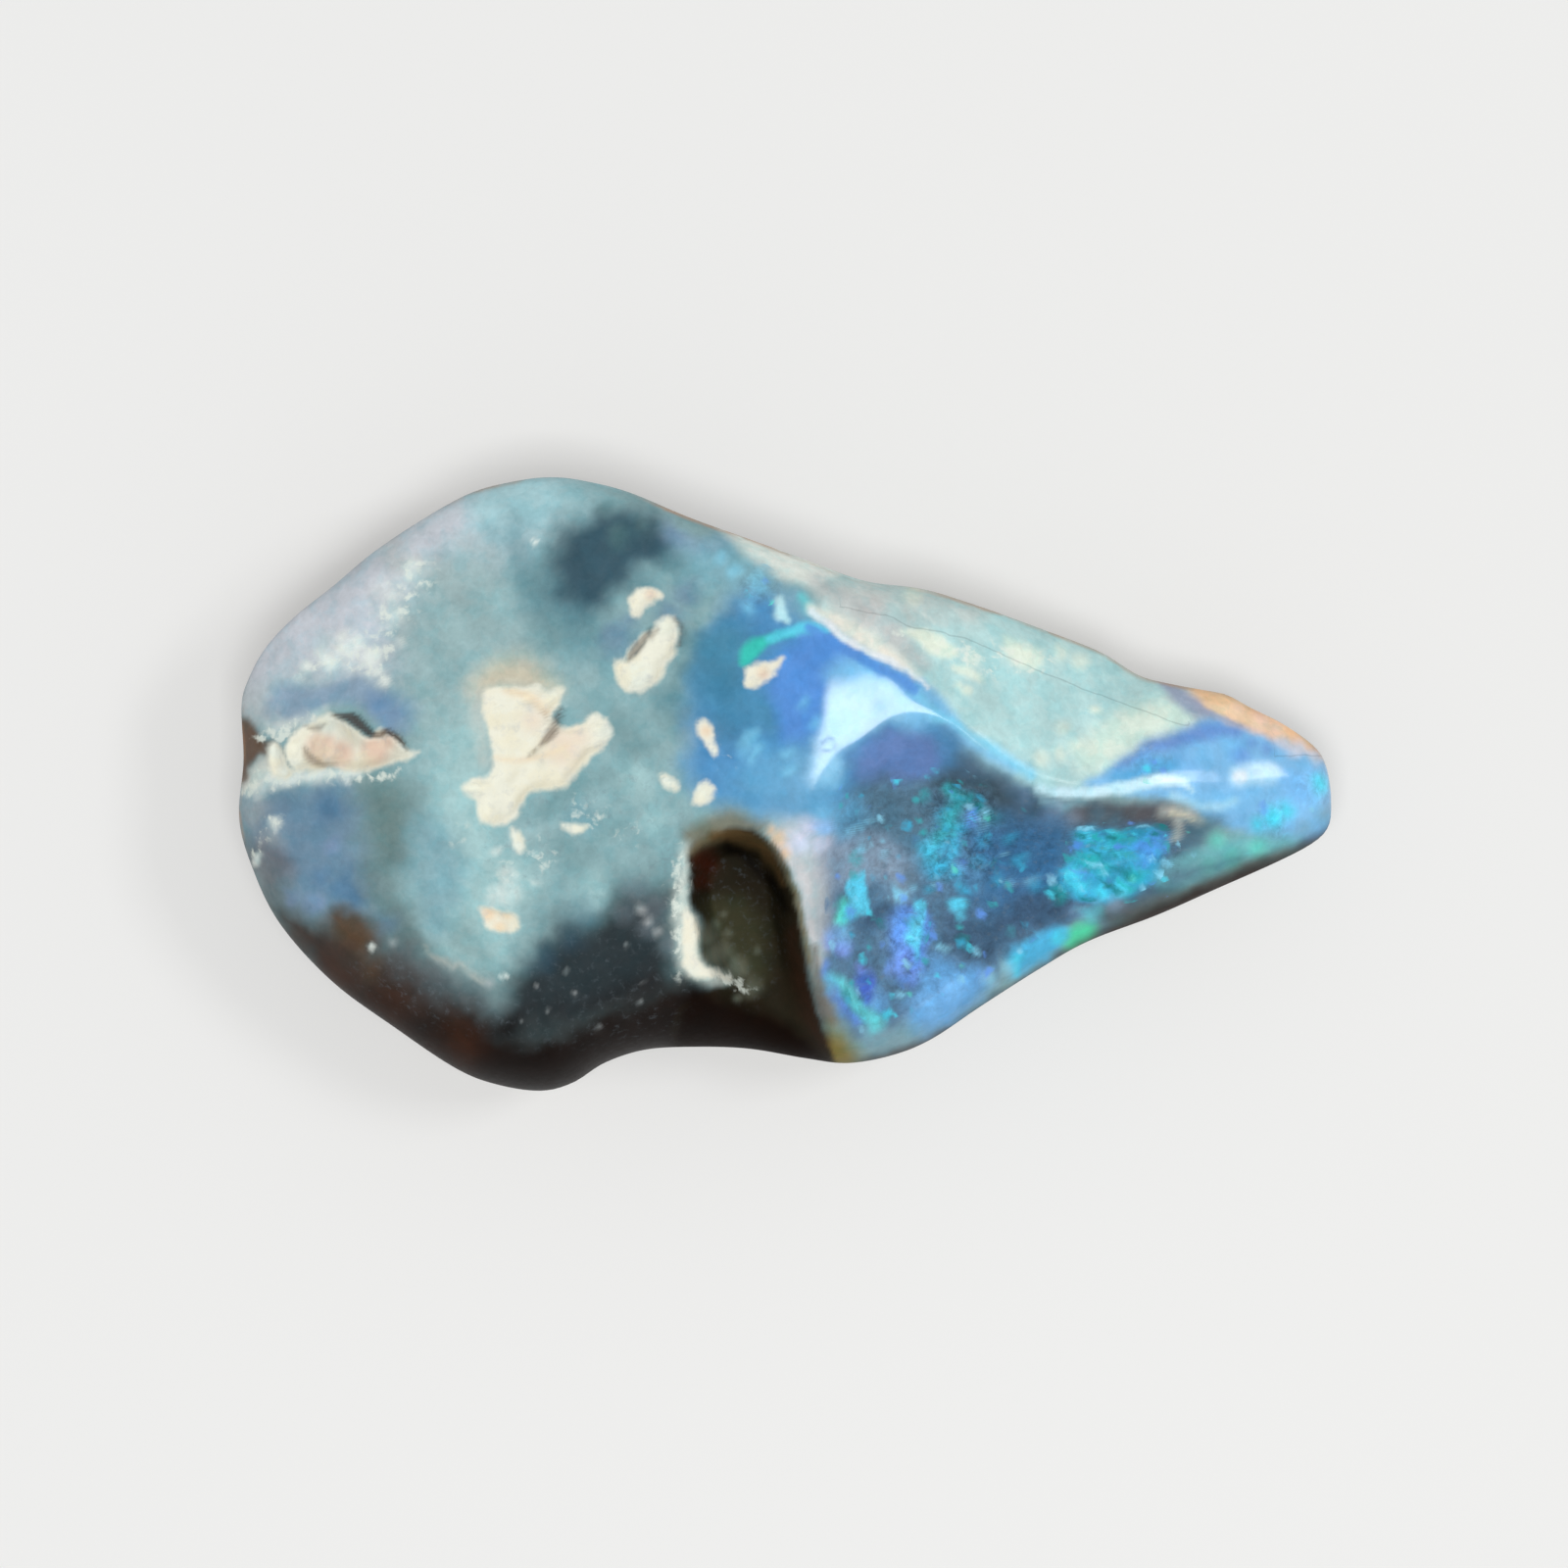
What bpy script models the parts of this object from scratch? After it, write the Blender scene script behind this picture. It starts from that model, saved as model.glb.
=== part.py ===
"""A Lightning Ridge opal: one freeform, hand-rubbed stone about 33.5 mm long, 18.8 mm wide and 8.4 mm thick.

The stone is one natural piece, so it is one object. Its outline is a rounded, broad end on the left that
narrows to a blunt tip on the right. A ridge crosses its upper face and runs out to the tip. Behind the ridge
a flat panel falls away to the back edge, and in front of it a wide scoop is hollowed out. Between the scoop
and the broad end a deep pit opens, and a gully runs from it to a bay in the front edge. Softer host rock
fills shallow pits in the broad end. The underside is ground flat.

Run it in Blender 4.5: blender --background --python part.py
The tables are in millimetres, and LENGTH scales the whole stone. +X runs to the tip, +Y to the back edge and
+Z up. The origin is on the flat of the underside, below the middle of the stone's length and width.
"""

import math

import bmesh
import bpy
import numpy as np

MM = 0.001

# The stone's length in millimetres, and the length that the tables below are drawn for
LENGTH = 33.5
TABLE_LENGTH = 33.5

# The widest line round the stone: its height at the middle, how it climbs along +X and +Y, and the height,
# wavelength and start of its wandering
RIM_HEIGHT = 3.75
RIM_CLIMB = np.array((-0.04, 0.15))
RIM_WANDER = 0.15
RIM_WAVELENGTH = 14.0
RIM_PHASE = 0.6

# The shoulder between the rim and the upper face: its width along the back edge and along the front, and the
# stretch of Y over which one passes into the other
BACK_SHOULDER = 1.3
FRONT_SHOULDER = 2.6
SHOULDER_BACK_Y = 2.0
SHOULDER_FRONT_Y = -6.0

# The outline seen from above, from the broad end's left side round the front edge, tip and back edge
OUTLINE = (
    (-16.65, 2.4), (-16.6, 0.75), (-16.75, -0.95), (-16.4, -2.4), (-15.55, -4.2), (-13.95, -6.0),
    (-12.0, -7.45), (-10.15, -8.7), (-8.9, -9.2), (-7.55, -9.4), (-6.55, -9.15), (-5.6, -8.55),
    (-4.4, -8.15), (-3.0, -8.05), (-1.2, -8.1), (0.6, -8.4), (1.9, -8.55), (3.3, -8.3), (4.5, -7.8),
    (6.0, -6.8), (7.8, -5.65), (9.3, -4.8), (11.4, -4.0), (13.2, -3.2), (15.0, -2.4), (16.15, -1.8),
    (16.65, -1.3), (16.75, -0.6), (16.65, 0.35), (16.3, 1.1), (15.3, 1.85), (14.25, 2.38), (13.5, 2.78),
    (12.75, 2.93), (11.75, 3.12), (10.8, 3.38), (9.6, 4.1), (7.8, 4.8), (6.0, 5.45), (4.2, 6.0), (2.4, 6.25),
    (0.6, 6.9), (-1.2, 7.55), (-3.0, 8.2), (-4.8, 8.95), (-6.2, 9.3), (-7.25, 9.4), (-8.4, 9.25),
    (-9.65, 8.9), (-11.1, 8.1), (-12.6, 7.1), (-13.8, 6.1), (-15.0, 5.15), (-15.9, 4.2), (-16.45, 3.2),
)

# Heights of the broad upper form, before the ridge, scoop, gully and pits are worked into it: x, y, height
SPOT_HEIGHTS = (
    (-16.4, 1.0, 5.4), (-14.8, 5.2, 5.8), (-14.8, -4.4, 5.8), (-12.5, 1.0, 7.4), (-11.2, 7.6, 6.3),
    (-11.5, -6.8, 6.4), (-8.5, -1.0, 8.3), (-8.0, 4.0, 7.8), (-7.2, 9.1, 6.5), (-7.5, -8.8, 6.4),
    (-4.5, 1.0, 7.95), (-4.0, -4.5, 7.2), (-3.2, -7.9, 5.8), (-2.8, 7.9, 6.7), (-1.3, 2.2, 7.5),
    (-1.5, 5.0, 7.2), (1.1, 2.6, 7.25), (2.4, 2.3, 7.3), (1.4, 0.6, 7.2), (0.8, -1.6, 6.95),
    (2.0, -8.4, 5.6), (3.4, 3.5, 7.6), (4.6, 2.4, 7.5), (4.5, -5.0, 6.4), (1.9, 4.9, 7.6),
    (5.0, 6.0, 7.3), (7.6, 0.1, 6.9), (8.0, -5.2, 5.4), (9.5, 4.0, 6.4), (10.6, -0.1, 6.1),
    (12.5, -3.2, 4.7), (13.2, 0.1, 5.4), (13.0, 2.6, 5.2), (15.2, 0.2, 4.8), (16.6, -0.5, 4.3),
)

# The crest that crosses the upper face, from the back edge to the tip. The panel lies behind it.
RIDGE = (
    (-1.6, 7.9), (0.0, 6.0), (0.9, 4.9), (2.1, 4.15), (3.3, 3.45), (4.5, 2.4), (6.0, 1.05), (7.5, 0.15),
    (9.0, -0.15), (10.5, -0.05), (12.1, 0.2), (13.6, 0.15), (15.0, 0.25), (17.5, 0.3),
)
BEHIND_THE_RIDGE = ((19.0, 12.0), (0.0, 12.0))
PANEL_SLOPE = 0.46
TIP_SLOPE = 0.14
PANEL_END_X = 10.8
PANEL_END_SPAN = 1.6
CREST_ROUNDING = 0.2
CREST_BLUR = 0.45
BLUR_SAMPLES = 10
BLUR_INNER_REACH = 0.6

# The hollowed scoop in front of the ridge
SCOOP = (
    (4.9, 1.7), (3.7, 1.75), (2.5, 1.15), (1.6, 0.2), (1.15, -1.3), (0.85, -2.8), (0.95, -4.6), (1.35, -6.4),
    (1.9, -7.6), (2.8, -7.9), (4.2, -7.35), (5.8, -6.25), (7.7, -5.1), (9.3, -4.2), (11.3, -3.3),
    (13.0, -2.5), (13.4, -1.5), (12.4, -0.75), (10.6, -0.65), (9.0, -0.6), (7.4, -0.25), (6.1, 0.7),
)
SCOOP_DEPTH = 1.75
SCOOP_WALL = 2.7

# The pit between the broad end and the scoop, and the gully that runs from it to the bay in the front edge:
# x, y, reach to the left, reach to the right, depth, width of the left wall, width of the right wall
GULLY = (
    (-1.45, -2.95, 1.6, 1.65, 2.4, 0.7, 0.9), (-1.2, -4.0, 1.7, 1.65, 2.3, 0.7, 1.1),
    (-0.75, -5.2, 1.8, 1.4, 1.9, 0.9, 1.15), (-0.15, -6.5, 2.3, 1.1, 1.45, 2.2, 1.05),
    (0.3, -7.7, 2.9, 1.0, 1.2, 2.9, 1.0), (0.6, -9.4, 3.2, 0.95, 1.1, 3.2, 0.95),
)
GULLY_SIDE_BLEND = 0.8

# Pits filled with host rock: name, outline, depth, width of the wall
HOST_ROCK_PITS = (
    (
        "slot",
        (
            (-15.3, 1.5), (-14.6, 1.95), (-13.6, 2.25), (-12.6, 1.95), (-11.7, 1.3), (-11.4, 0.95),
            (-12.4, 0.6), (-13.8, 0.45), (-15.0, 0.75),
        ),
        0.55,
        0.5,
    ),
    (
        "butterfly",
        (
            (-9.2, 3.1), (-8.3, 3.0), (-7.0, 2.85), (-6.8, 2.2), (-6.3, 2.0), (-5.5, 2.1), (-5.4, 1.4),
            (-6.3, 0.6), (-7.0, -0.1), (-7.8, -0.1), (-8.3, -1.0), (-9.1, -1.3), (-9.8, -0.4),
            (-9.1, 0.4), (-9.0, 1.8),
        ),
        0.22,
        0.45,
    ),
    (
        "leaf",
        (
            (-3.6, 5.1), (-3.2, 4.6), (-3.6, 3.4), (-4.3, 2.8), (-5.0, 3.0), (-5.15, 3.7), (-4.5, 4.2),
            (-4.1, 4.9),
        ),
        0.3,
        0.4,
    ),
)

# Long soft waves left by hand rubbing: direction in degrees, wavelength, height
RUBBING_WAVES = ((20.0, 9.0, 0.07), (75.0, 7.0, 0.06), (130.0, 5.5, 0.05))

# Slanting faces round the ground flat of the underside: bearing, distance from the origin, slope
UNDER_FACES = (
    (8.0, 9.0, 0.34), (58.0, 3.6, 0.8), (96.0, 3.4, 0.95), (140.0, 7.6, 0.85), (186.0, 12.6, 0.8),
    (222.0, 8.6, 0.75), (262.0, 5.4, 0.6), (300.0, 4.6, 0.62),
)
FACE_BLEND = 0.5
UNDER_SHOULDER = 1.5
LEAST_WALL = 0.3

# How the skin is divided: the grid's steps each way, how closely they crowd towards the rim, the point that
# the grid is centred on, and how much longer than wide its cells are. Steep places are divided again.
GRID_LONG = 52
GRID_SHORT = 30
RIM_CROWDING = 1.3
HUB = np.array((-1.5, -0.3))
STRETCH = 1.8
CURVE_STEPS = 6
STEEP_FALL = 0.18

STONE_COLOUR = (0.22, 0.42, 0.48, 1.0)
STONE_ROUGHNESS = 0.3


def smooth_curve(points, closed, steps=CURVE_STEPS):
    """A Catmull-Rom curve through the points, one row for each point on it."""
    points = np.asarray(points, float)
    count = len(points)
    if closed:
        ahead = points[np.arange(-1, count + 2) % count]
    else:
        ahead = np.vstack((2 * points[0] - points[1], points, 2 * points[-1] - points[-2]))
    spans = len(ahead) - 3
    t = (np.arange(steps) / steps)[:, None]
    rows = []
    for span in range(spans):
        a, b, c, d = ahead[span : span + 4]
        bend = (2 * a - 5 * b + 4 * c - d) * t**2
        twist = (3 * b - a - 3 * c + d) * t**3
        rows.append(0.5 * (2 * b + (c - a) * t + bend + twist))
    if not closed:
        rows.append(points[-1:])
    return np.vstack(rows)


def nearest_on(curve, places, closed):
    """The distance from each place to the curve, and how far along the curve's rows the nearest point is."""
    start = curve[:, :2]
    end = np.roll(start, -1, axis=0)
    if not closed:
        start, end = start[:-1], end[:-1]
    run = end - start
    length_squared = (run**2).sum(1)
    distance = np.empty(len(places))
    along = np.empty(len(places))
    for first in range(0, len(places), 4000):
        block = places[first : first + 4000]
        offset = block[:, None, :] - start[None]
        share = np.clip((offset * run).sum(2) / length_squared, 0, 1)
        gap = np.linalg.norm(offset - share[:, :, None] * run, axis=2)
        nearest = gap.argmin(1)
        row = np.arange(len(block))
        distance[first : first + 4000] = gap[row, nearest]
        along[first : first + 4000] = nearest + share[row, nearest]
    return distance, along


def inside(curve, places):
    """True for each place inside the closed curve."""
    x, y = places[:, 0], places[:, 1]
    within = np.zeros(len(places), bool)
    for (x0, y0), (x1, y1) in zip(curve[:, :2], np.roll(curve[:, :2], -1, axis=0)):
        crosses = (y0 > y) != (y1 > y)
        if y0 != y1:
            within ^= crosses & (x < (x1 - x0) * (y - y0) / (y1 - y0) + x0)
    return within


def depth_inside(curve, places):
    """The distance to the closed curve, above zero inside it and below zero outside."""
    distance, _ = nearest_on(curve, places, closed=True)
    return np.where(inside(curve, places), distance, -distance)


def smooth_step(t):
    t = np.clip(t, 0, 1)
    return t * t * (3 - 2 * t)


def eased(distance, rounding):
    """The distance where it is above zero and nothing where it is below, with the corner rounded."""
    return (distance + np.sqrt(distance**2 + rounding**2)) / 2


def basin(t):
    """From 0 at the lip to 1 at the floor, steepest at the lip and level at the floor."""
    return 1 - (1 - np.clip(t, 0, 1)) ** 2


def shoulder(t, power):
    """From 0 at the rim, where it rises straight up, to 1 where the shoulder ends."""
    return (1 - (1 - np.clip(t, 0, 1)) ** 3) ** power


def thin_plate(spots, places):
    """The smoothest sheet through the spot heights, read at each place."""

    def kernel(r_squared):
        return r_squared * np.log(r_squared + 1e-9)

    spots = np.asarray(spots, float)
    xy = spots[:, :2]
    count = len(spots)
    plane = np.column_stack((np.ones(count), xy))
    system = np.zeros((count + 3, count + 3))
    system[:count, :count] = kernel(((xy[:, None] - xy[None]) ** 2).sum(2))
    system[:count, count:] = plane
    system[count:, :count] = plane.T
    weights = np.linalg.solve(system, np.append(spots[:, 2], (0, 0, 0)))
    bending = kernel(((places[:, None] - xy[None]) ** 2).sum(2)) @ weights[:count]
    return bending + weights[count] + places @ weights[count + 1 :]


def rim_height(places):
    """The widest line round the stone climbs towards the back edge and wanders a little."""
    wander = np.sin(2 * math.pi * places[:, 0] / RIM_WAVELENGTH + RIM_PHASE)
    return RIM_HEIGHT + places @ RIM_CLIMB + RIM_WANDER * wander


def blurred(fall, places, radius):
    """The mean of a fall over a small disc round each place, which rounds its creases."""
    total = fall(places)
    for turn in range(BLUR_SAMPLES):
        angle = 2 * math.pi * turn / BLUR_SAMPLES
        reach = radius if turn % 2 else radius * BLUR_INNER_REACH
        total = total + fall(places + reach * np.array((math.cos(angle), math.sin(angle))))
    return total / (BLUR_SAMPLES + 1)


def ridge_fall(places):
    """How far the panel has fallen below the ridge at each place behind it."""
    crest = smooth_curve(RIDGE, closed=False)
    behind = inside(np.vstack((crest, BEHIND_THE_RIDGE)), places)
    distance, _ = nearest_on(crest, places, closed=False)
    beyond_panel = smooth_step((places[:, 0] - PANEL_END_X) / PANEL_END_SPAN + 0.5)
    slope = PANEL_SLOPE + (TIP_SLOPE - PANEL_SLOPE) * beyond_panel
    return slope * eased(np.where(behind, distance, -distance), CREST_ROUNDING)


def scoop_fall(places):
    depth = depth_inside(smooth_curve(SCOOP, closed=True), places)
    return SCOOP_DEPTH * basin(eased(depth, CREST_ROUNDING) / SCOOP_WALL)


def gully_fall(places):
    """The pit's floor is widest and deepest at the start of the route, and the gully runs on from it."""
    route = smooth_curve(GULLY, closed=False)
    distance, along = nearest_on(route, places, closed=False)
    rows = np.arange(len(route))
    columns = [np.interp(along, rows, column) for column in route.T]
    x, y, left, right, depth, left_wall, right_wall = columns
    heading = np.gradient(route[:, :2], axis=0)
    turn_x, turn_y = (np.interp(along, rows, column) for column in heading.T)
    side = turn_x * (places[:, 1] - y) - turn_y * (places[:, 0] - x)
    towards_right = smooth_step(side / GULLY_SIDE_BLEND + 0.5)
    reach = left + (right - left) * towards_right
    wall = left_wall + (right_wall - left_wall) * towards_right
    return depth * smooth_step((reach - distance) / wall)


def host_rock_fall(places):
    fall = np.zeros(len(places))
    for _, outline, depth, wall in HOST_ROCK_PITS:
        fall += depth * smooth_step(depth_inside(smooth_curve(outline, closed=True), places) / wall)
    return fall


def rubbing(places):
    height = np.zeros(len(places))
    for degrees, wavelength, size in RUBBING_WAVES:
        angle = math.radians(degrees)
        phase = places @ (math.cos(angle), math.sin(angle)) * 2 * math.pi / wavelength
        height += size * np.sin(phase + degrees)
    return height


def shoulder_width(places):
    """The upper skin meets the back edge almost square, and rolls over slowly round the front."""
    towards_front = smooth_step((SHOULDER_BACK_Y - places[:, 1]) / (SHOULDER_BACK_Y - SHOULDER_FRONT_Y))
    return BACK_SHOULDER + (FRONT_SHOULDER - BACK_SHOULDER) * towards_front


def worked_fall(places):
    """How far the ridge, scoop, gully and pits lie below the broad upper form."""
    crests = blurred(ridge_fall, places, CREST_BLUR) + blurred(scoop_fall, places, CREST_BLUR)
    return crests + gully_fall(places) + host_rock_fall(places)


def top_height(places, edge_distance):
    sheet = thin_plate(SPOT_HEIGHTS, places) + rubbing(places) - worked_fall(places)
    rim = rim_height(places)
    return rim + (sheet - rim) * shoulder(edge_distance / shoulder_width(places), 0.5)


def underside_height(places, edge_distance):
    """The underside is the ground flat, at height zero, with slanting faces ground off all round it."""
    height = np.zeros(len(places))
    for bearing, start, slope in UNDER_FACES:
        angle = math.radians(bearing)
        face = slope * (places @ (math.cos(angle), math.sin(angle)) - start)
        overlap = np.clip(FACE_BLEND - np.abs(height - face), 0, None)
        height = np.maximum(height, face) + overlap**2 / (4 * FACE_BLEND)
    rim = rim_height(places)
    height = np.minimum(height, rim - LEAST_WALL)
    return rim + (height - rim) * shoulder(edge_distance / UNDER_SHOULDER, 0.5)


def disc_place(a, b):
    """A place in a square from -1 to 1 carried to the unit disc: ring number and bearing."""
    ring = np.maximum(np.abs(a), np.abs(b))
    safe = np.where(ring == 0, 1, ring)
    sideways = np.abs(a) >= np.abs(b)
    quarter = math.pi / 4
    east_west = quarter * b / safe * np.sign(a) + np.where(a < 0, math.pi, 0)
    north_south = (2 * quarter - quarter * a / safe) * np.sign(b)
    return ring, np.where(sideways, east_west, north_south)


def outline_reach(outline, bearing):
    """The outline's point in each bearing from the hub, in a plan squeezed along its length."""
    offset = outline - HUB
    angle = np.unwrap(np.arctan2(offset[:, 1], offset[:, 0] / STRETCH))
    order = np.argsort(angle % (2 * math.pi))
    turn = (angle % (2 * math.pi))[order]
    bearing = bearing % (2 * math.pi)
    x = np.interp(bearing, turn, offset[order, 0], period=2 * math.pi)
    y = np.interp(bearing, turn, offset[order, 1], period=2 * math.pi)
    return np.column_stack((x, y))


def plan_places(vertices):
    """Where a flat sheet's vertices, from -1 to 1, fall in the stone's plan, and their ring numbers."""
    flat = np.array([vertex.co[:2] for vertex in vertices])
    ring, bearing = disc_place(flat[:, 0], flat[:, 1])
    reach = 1 - (1 - ring) ** RIM_CROWDING
    return HUB + outline_reach(smooth_curve(OUTLINE, closed=True), bearing) * reach[:, None], ring


def divide_steep_places(sheet):
    """Cuts each cell of the flat sheet in four where the worked relief falls steeply across it."""
    sheet.verts.index_update()
    places, ring = plan_places(sheet.verts)
    fall = worked_fall(places)
    steep = []
    for face in sheet.faces:
        corners = [vertex.index for vertex in face.verts]
        if np.ptp(fall[corners]) > STEEP_FALL and ring[corners].max() < 1 - 1e-6:
            steep.append(face)
    edges = {edge for face in steep for edge in face.edges}
    bmesh.ops.subdivide_edges(sheet, edges=list(edges), cuts=1, use_grid_fill=True)


def shape_skin(vertices, height_at):
    """Moves a flat sheet's vertices to the upper skin or the underside."""
    places, ring = plan_places(vertices)
    edge_distance, _ = nearest_on(smooth_curve(OUTLINE, closed=True), places, closed=True)
    edge_distance = np.where(ring >= 1 - 1e-6, 0, edge_distance)
    height = height_at(places, edge_distance)
    for vertex, (x, y), z in zip(vertices, places, height):
        vertex.co = (x, y, z)


def centre_and_scale(stone):
    """Puts the origin below the middle of the stone and turns its millimetres into metres."""
    places = np.array([vertex.co[:] for vertex in stone.verts])
    middle = (places.min(0) + places.max(0)) / 2
    scale = MM * LENGTH / TABLE_LENGTH
    for vertex in stone.verts:
        x = vertex.co.x - middle[0]
        y = vertex.co.y - middle[1]
        vertex.co = (x * scale, y * scale, vertex.co.z * scale)


def build_stone():
    """Two flat sheets with one border are shaped into the upper skin and the underside and joined."""
    stone = bmesh.new()
    bmesh.ops.create_grid(stone, x_segments=GRID_LONG, y_segments=GRID_SHORT, size=1)
    divide_steep_places(stone)
    shape_skin(stone.verts[:], top_height)
    under = bmesh.ops.create_grid(stone, x_segments=GRID_LONG, y_segments=GRID_SHORT, size=1)["verts"]
    shape_skin(under, underside_height)
    bmesh.ops.remove_doubles(stone, verts=stone.verts[:], dist=1e-4)
    bmesh.ops.triangulate(stone, faces=stone.faces[:], quad_method="SHORT_EDGE")
    bmesh.ops.recalc_face_normals(stone, faces=stone.faces[:])
    centre_and_scale(stone)
    mesh = bpy.data.meshes.new("opal")
    stone.to_mesh(mesh)
    stone.free()
    mesh.shade_smooth()
    return mesh


def stone_material():
    material = bpy.data.materials.new("opal")
    material.use_nodes = True
    shader = material.node_tree.nodes["Principled BSDF"]
    shader.inputs["Base Color"].default_value = STONE_COLOUR
    shader.inputs["Roughness"].default_value = STONE_ROUGHNESS
    shader.inputs["Metallic"].default_value = 0.0
    return material


def main():
    for old in list(bpy.data.objects):
        bpy.data.objects.remove(old)
    mesh = build_stone()
    mesh.materials.append(stone_material())
    opal = bpy.data.objects.new("opal", mesh)
    bpy.context.scene.collection.objects.link(opal)


main()
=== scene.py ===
"""A Lightning Ridge opal, seen from straight above on a pale studio floor.

One piece, opal_stone, stands for the CAD node opal. Its skin is shaped by the same forms as the CAD solid, at
a finer pitch, with the crevices and the grain of the host rock added. Its colours come from named patches
that are laid over each other, and from the material's own noise, cells and flecks. A few of the patches are
painted highlights and sheen on the ridges, the tip and round the window's highlight.

Lengths in the form tables are millimetres. The paint tables count in the pixels of a square frame that lies
over the stone, with y running down. The frame is FRAME_WIDTH pixels wide, a pixel is PIXEL millimetres wide,
and MIDDLE is the pixel over the point where both measures in millimetres are 0.
"""

import math

import bmesh
import bpy
import numpy as np
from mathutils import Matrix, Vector, noise


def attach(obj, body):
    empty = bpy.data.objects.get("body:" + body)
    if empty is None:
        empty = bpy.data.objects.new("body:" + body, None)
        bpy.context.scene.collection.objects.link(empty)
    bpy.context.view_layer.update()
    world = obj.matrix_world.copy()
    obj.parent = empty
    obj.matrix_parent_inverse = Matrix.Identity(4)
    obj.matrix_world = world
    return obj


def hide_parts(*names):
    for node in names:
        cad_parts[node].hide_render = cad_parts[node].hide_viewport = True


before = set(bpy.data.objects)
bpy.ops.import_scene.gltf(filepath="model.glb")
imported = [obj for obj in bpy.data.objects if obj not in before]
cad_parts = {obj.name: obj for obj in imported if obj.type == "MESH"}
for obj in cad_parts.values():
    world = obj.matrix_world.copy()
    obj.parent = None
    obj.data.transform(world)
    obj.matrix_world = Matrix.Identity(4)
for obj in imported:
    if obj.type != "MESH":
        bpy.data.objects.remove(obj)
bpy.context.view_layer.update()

MM = 0.001
PIXEL = 0.03
FRAME_WIDTH = 1600
MIDDLE = np.array((801.0, 800.0))

# The stone's forms, as in the CAD part

# The rim's height at the origin, how it climbs along x and y, and how it wanders up and down along x
RIM_HEIGHT = 3.75
RIM_CLIMB = np.array((-0.04, 0.15))
RIM_WANDER = 0.15
RIM_WAVELENGTH = 14.0
RIM_PHASE = 0.6
# The width of the rounded shoulder above the rim at the back and at the front, and the y of each
BACK_SHOULDER = 1.3
FRONT_SHOULDER = 2.6
SHOULDER_BACK_Y = 2.0
SHOULDER_FRONT_Y = -6.0

OUTLINE = (
    (-16.65, 2.4), (-16.6, 0.75), (-16.75, -0.95), (-16.4, -2.4), (-15.55, -4.2), (-13.95, -6.0),
    (-12.0, -7.45), (-10.15, -8.7), (-8.9, -9.2), (-7.55, -9.4), (-6.55, -9.15), (-5.6, -8.55),
    (-4.4, -8.15), (-3.0, -8.05), (-1.2, -8.1), (0.6, -8.4), (1.9, -8.55), (3.3, -8.3), (4.5, -7.8),
    (6.0, -6.8), (7.8, -5.65), (9.3, -4.8), (11.4, -4.0), (13.2, -3.2), (15.0, -2.4), (16.15, -1.8),
    (16.65, -1.3), (16.75, -0.6), (16.65, 0.35), (16.3, 1.1), (15.3, 1.85), (14.25, 2.38), (13.5, 2.78),
    (12.75, 2.93), (11.75, 3.12), (10.8, 3.38), (9.6, 4.1), (7.8, 4.8), (6.0, 5.45), (4.2, 6.0), (2.4, 6.25),
    (0.6, 6.9), (-1.2, 7.55), (-3.0, 8.2), (-4.8, 8.95), (-6.2, 9.3), (-7.25, 9.4), (-8.4, 9.25),
    (-9.65, 8.9), (-11.1, 8.1), (-12.6, 7.1), (-13.8, 6.1), (-15.0, 5.15), (-15.9, 4.2), (-16.45, 3.2),
)
# x, y and height of spots on the rubbed skin, before the ridge, scoop, gully and pits are taken out of it
SPOT_HEIGHTS = (
    (-16.4, 1.0, 5.4), (-14.8, 5.2, 5.8), (-14.8, -4.4, 5.8), (-12.5, 1.0, 7.4), (-11.2, 7.6, 6.3),
    (-11.5, -6.8, 6.4), (-8.5, -1.0, 8.3), (-8.0, 4.0, 7.8), (-7.2, 9.1, 6.5), (-7.5, -8.8, 6.4),
    (-4.5, 1.0, 7.95), (-4.0, -4.5, 7.2), (-3.2, -7.9, 5.8), (-2.8, 7.9, 6.7), (-1.3, 2.2, 7.5),
    (-1.5, 5.0, 7.2), (1.1, 2.6, 7.25), (2.4, 2.3, 7.3), (1.4, 0.6, 7.2), (0.8, -1.6, 6.95),
    (2.0, -8.4, 5.6), (3.4, 3.5, 7.6), (4.6, 2.4, 7.5), (4.5, -5.0, 6.4), (1.9, 4.9, 7.6),
    (5.0, 6.0, 7.3), (7.6, 0.1, 6.9), (8.0, -5.2, 5.4), (9.5, 4.0, 6.4), (10.6, -0.1, 6.1),
    (12.5, -3.2, 4.7), (13.2, 0.1, 5.4), (13.0, 2.6, 5.2), (15.2, 0.2, 4.8), (16.6, -0.5, 4.3),
)
# The ridge's crest from the back edge to the tip, and how steeply the panel behind it falls
RIDGE = (
    (-1.6, 7.9), (0.0, 6.0), (0.9, 4.9), (2.1, 4.15), (3.3, 3.45), (4.5, 2.4), (6.0, 1.05), (7.5, 0.15),
    (9.0, -0.15), (10.5, -0.05), (12.1, 0.2), (13.6, 0.15), (15.0, 0.25), (17.5, 0.3),
)
BEHIND_THE_RIDGE = ((19.0, 12.0), (0.0, 12.0))
PANEL_SLOPE = 0.46
TIP_SLOPE = 0.14
PANEL_END_X = 10.8
PANEL_END_SPAN = 1.6
CREST_ROUNDING = 0.2
CREST_BLUR = 0.45

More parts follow.
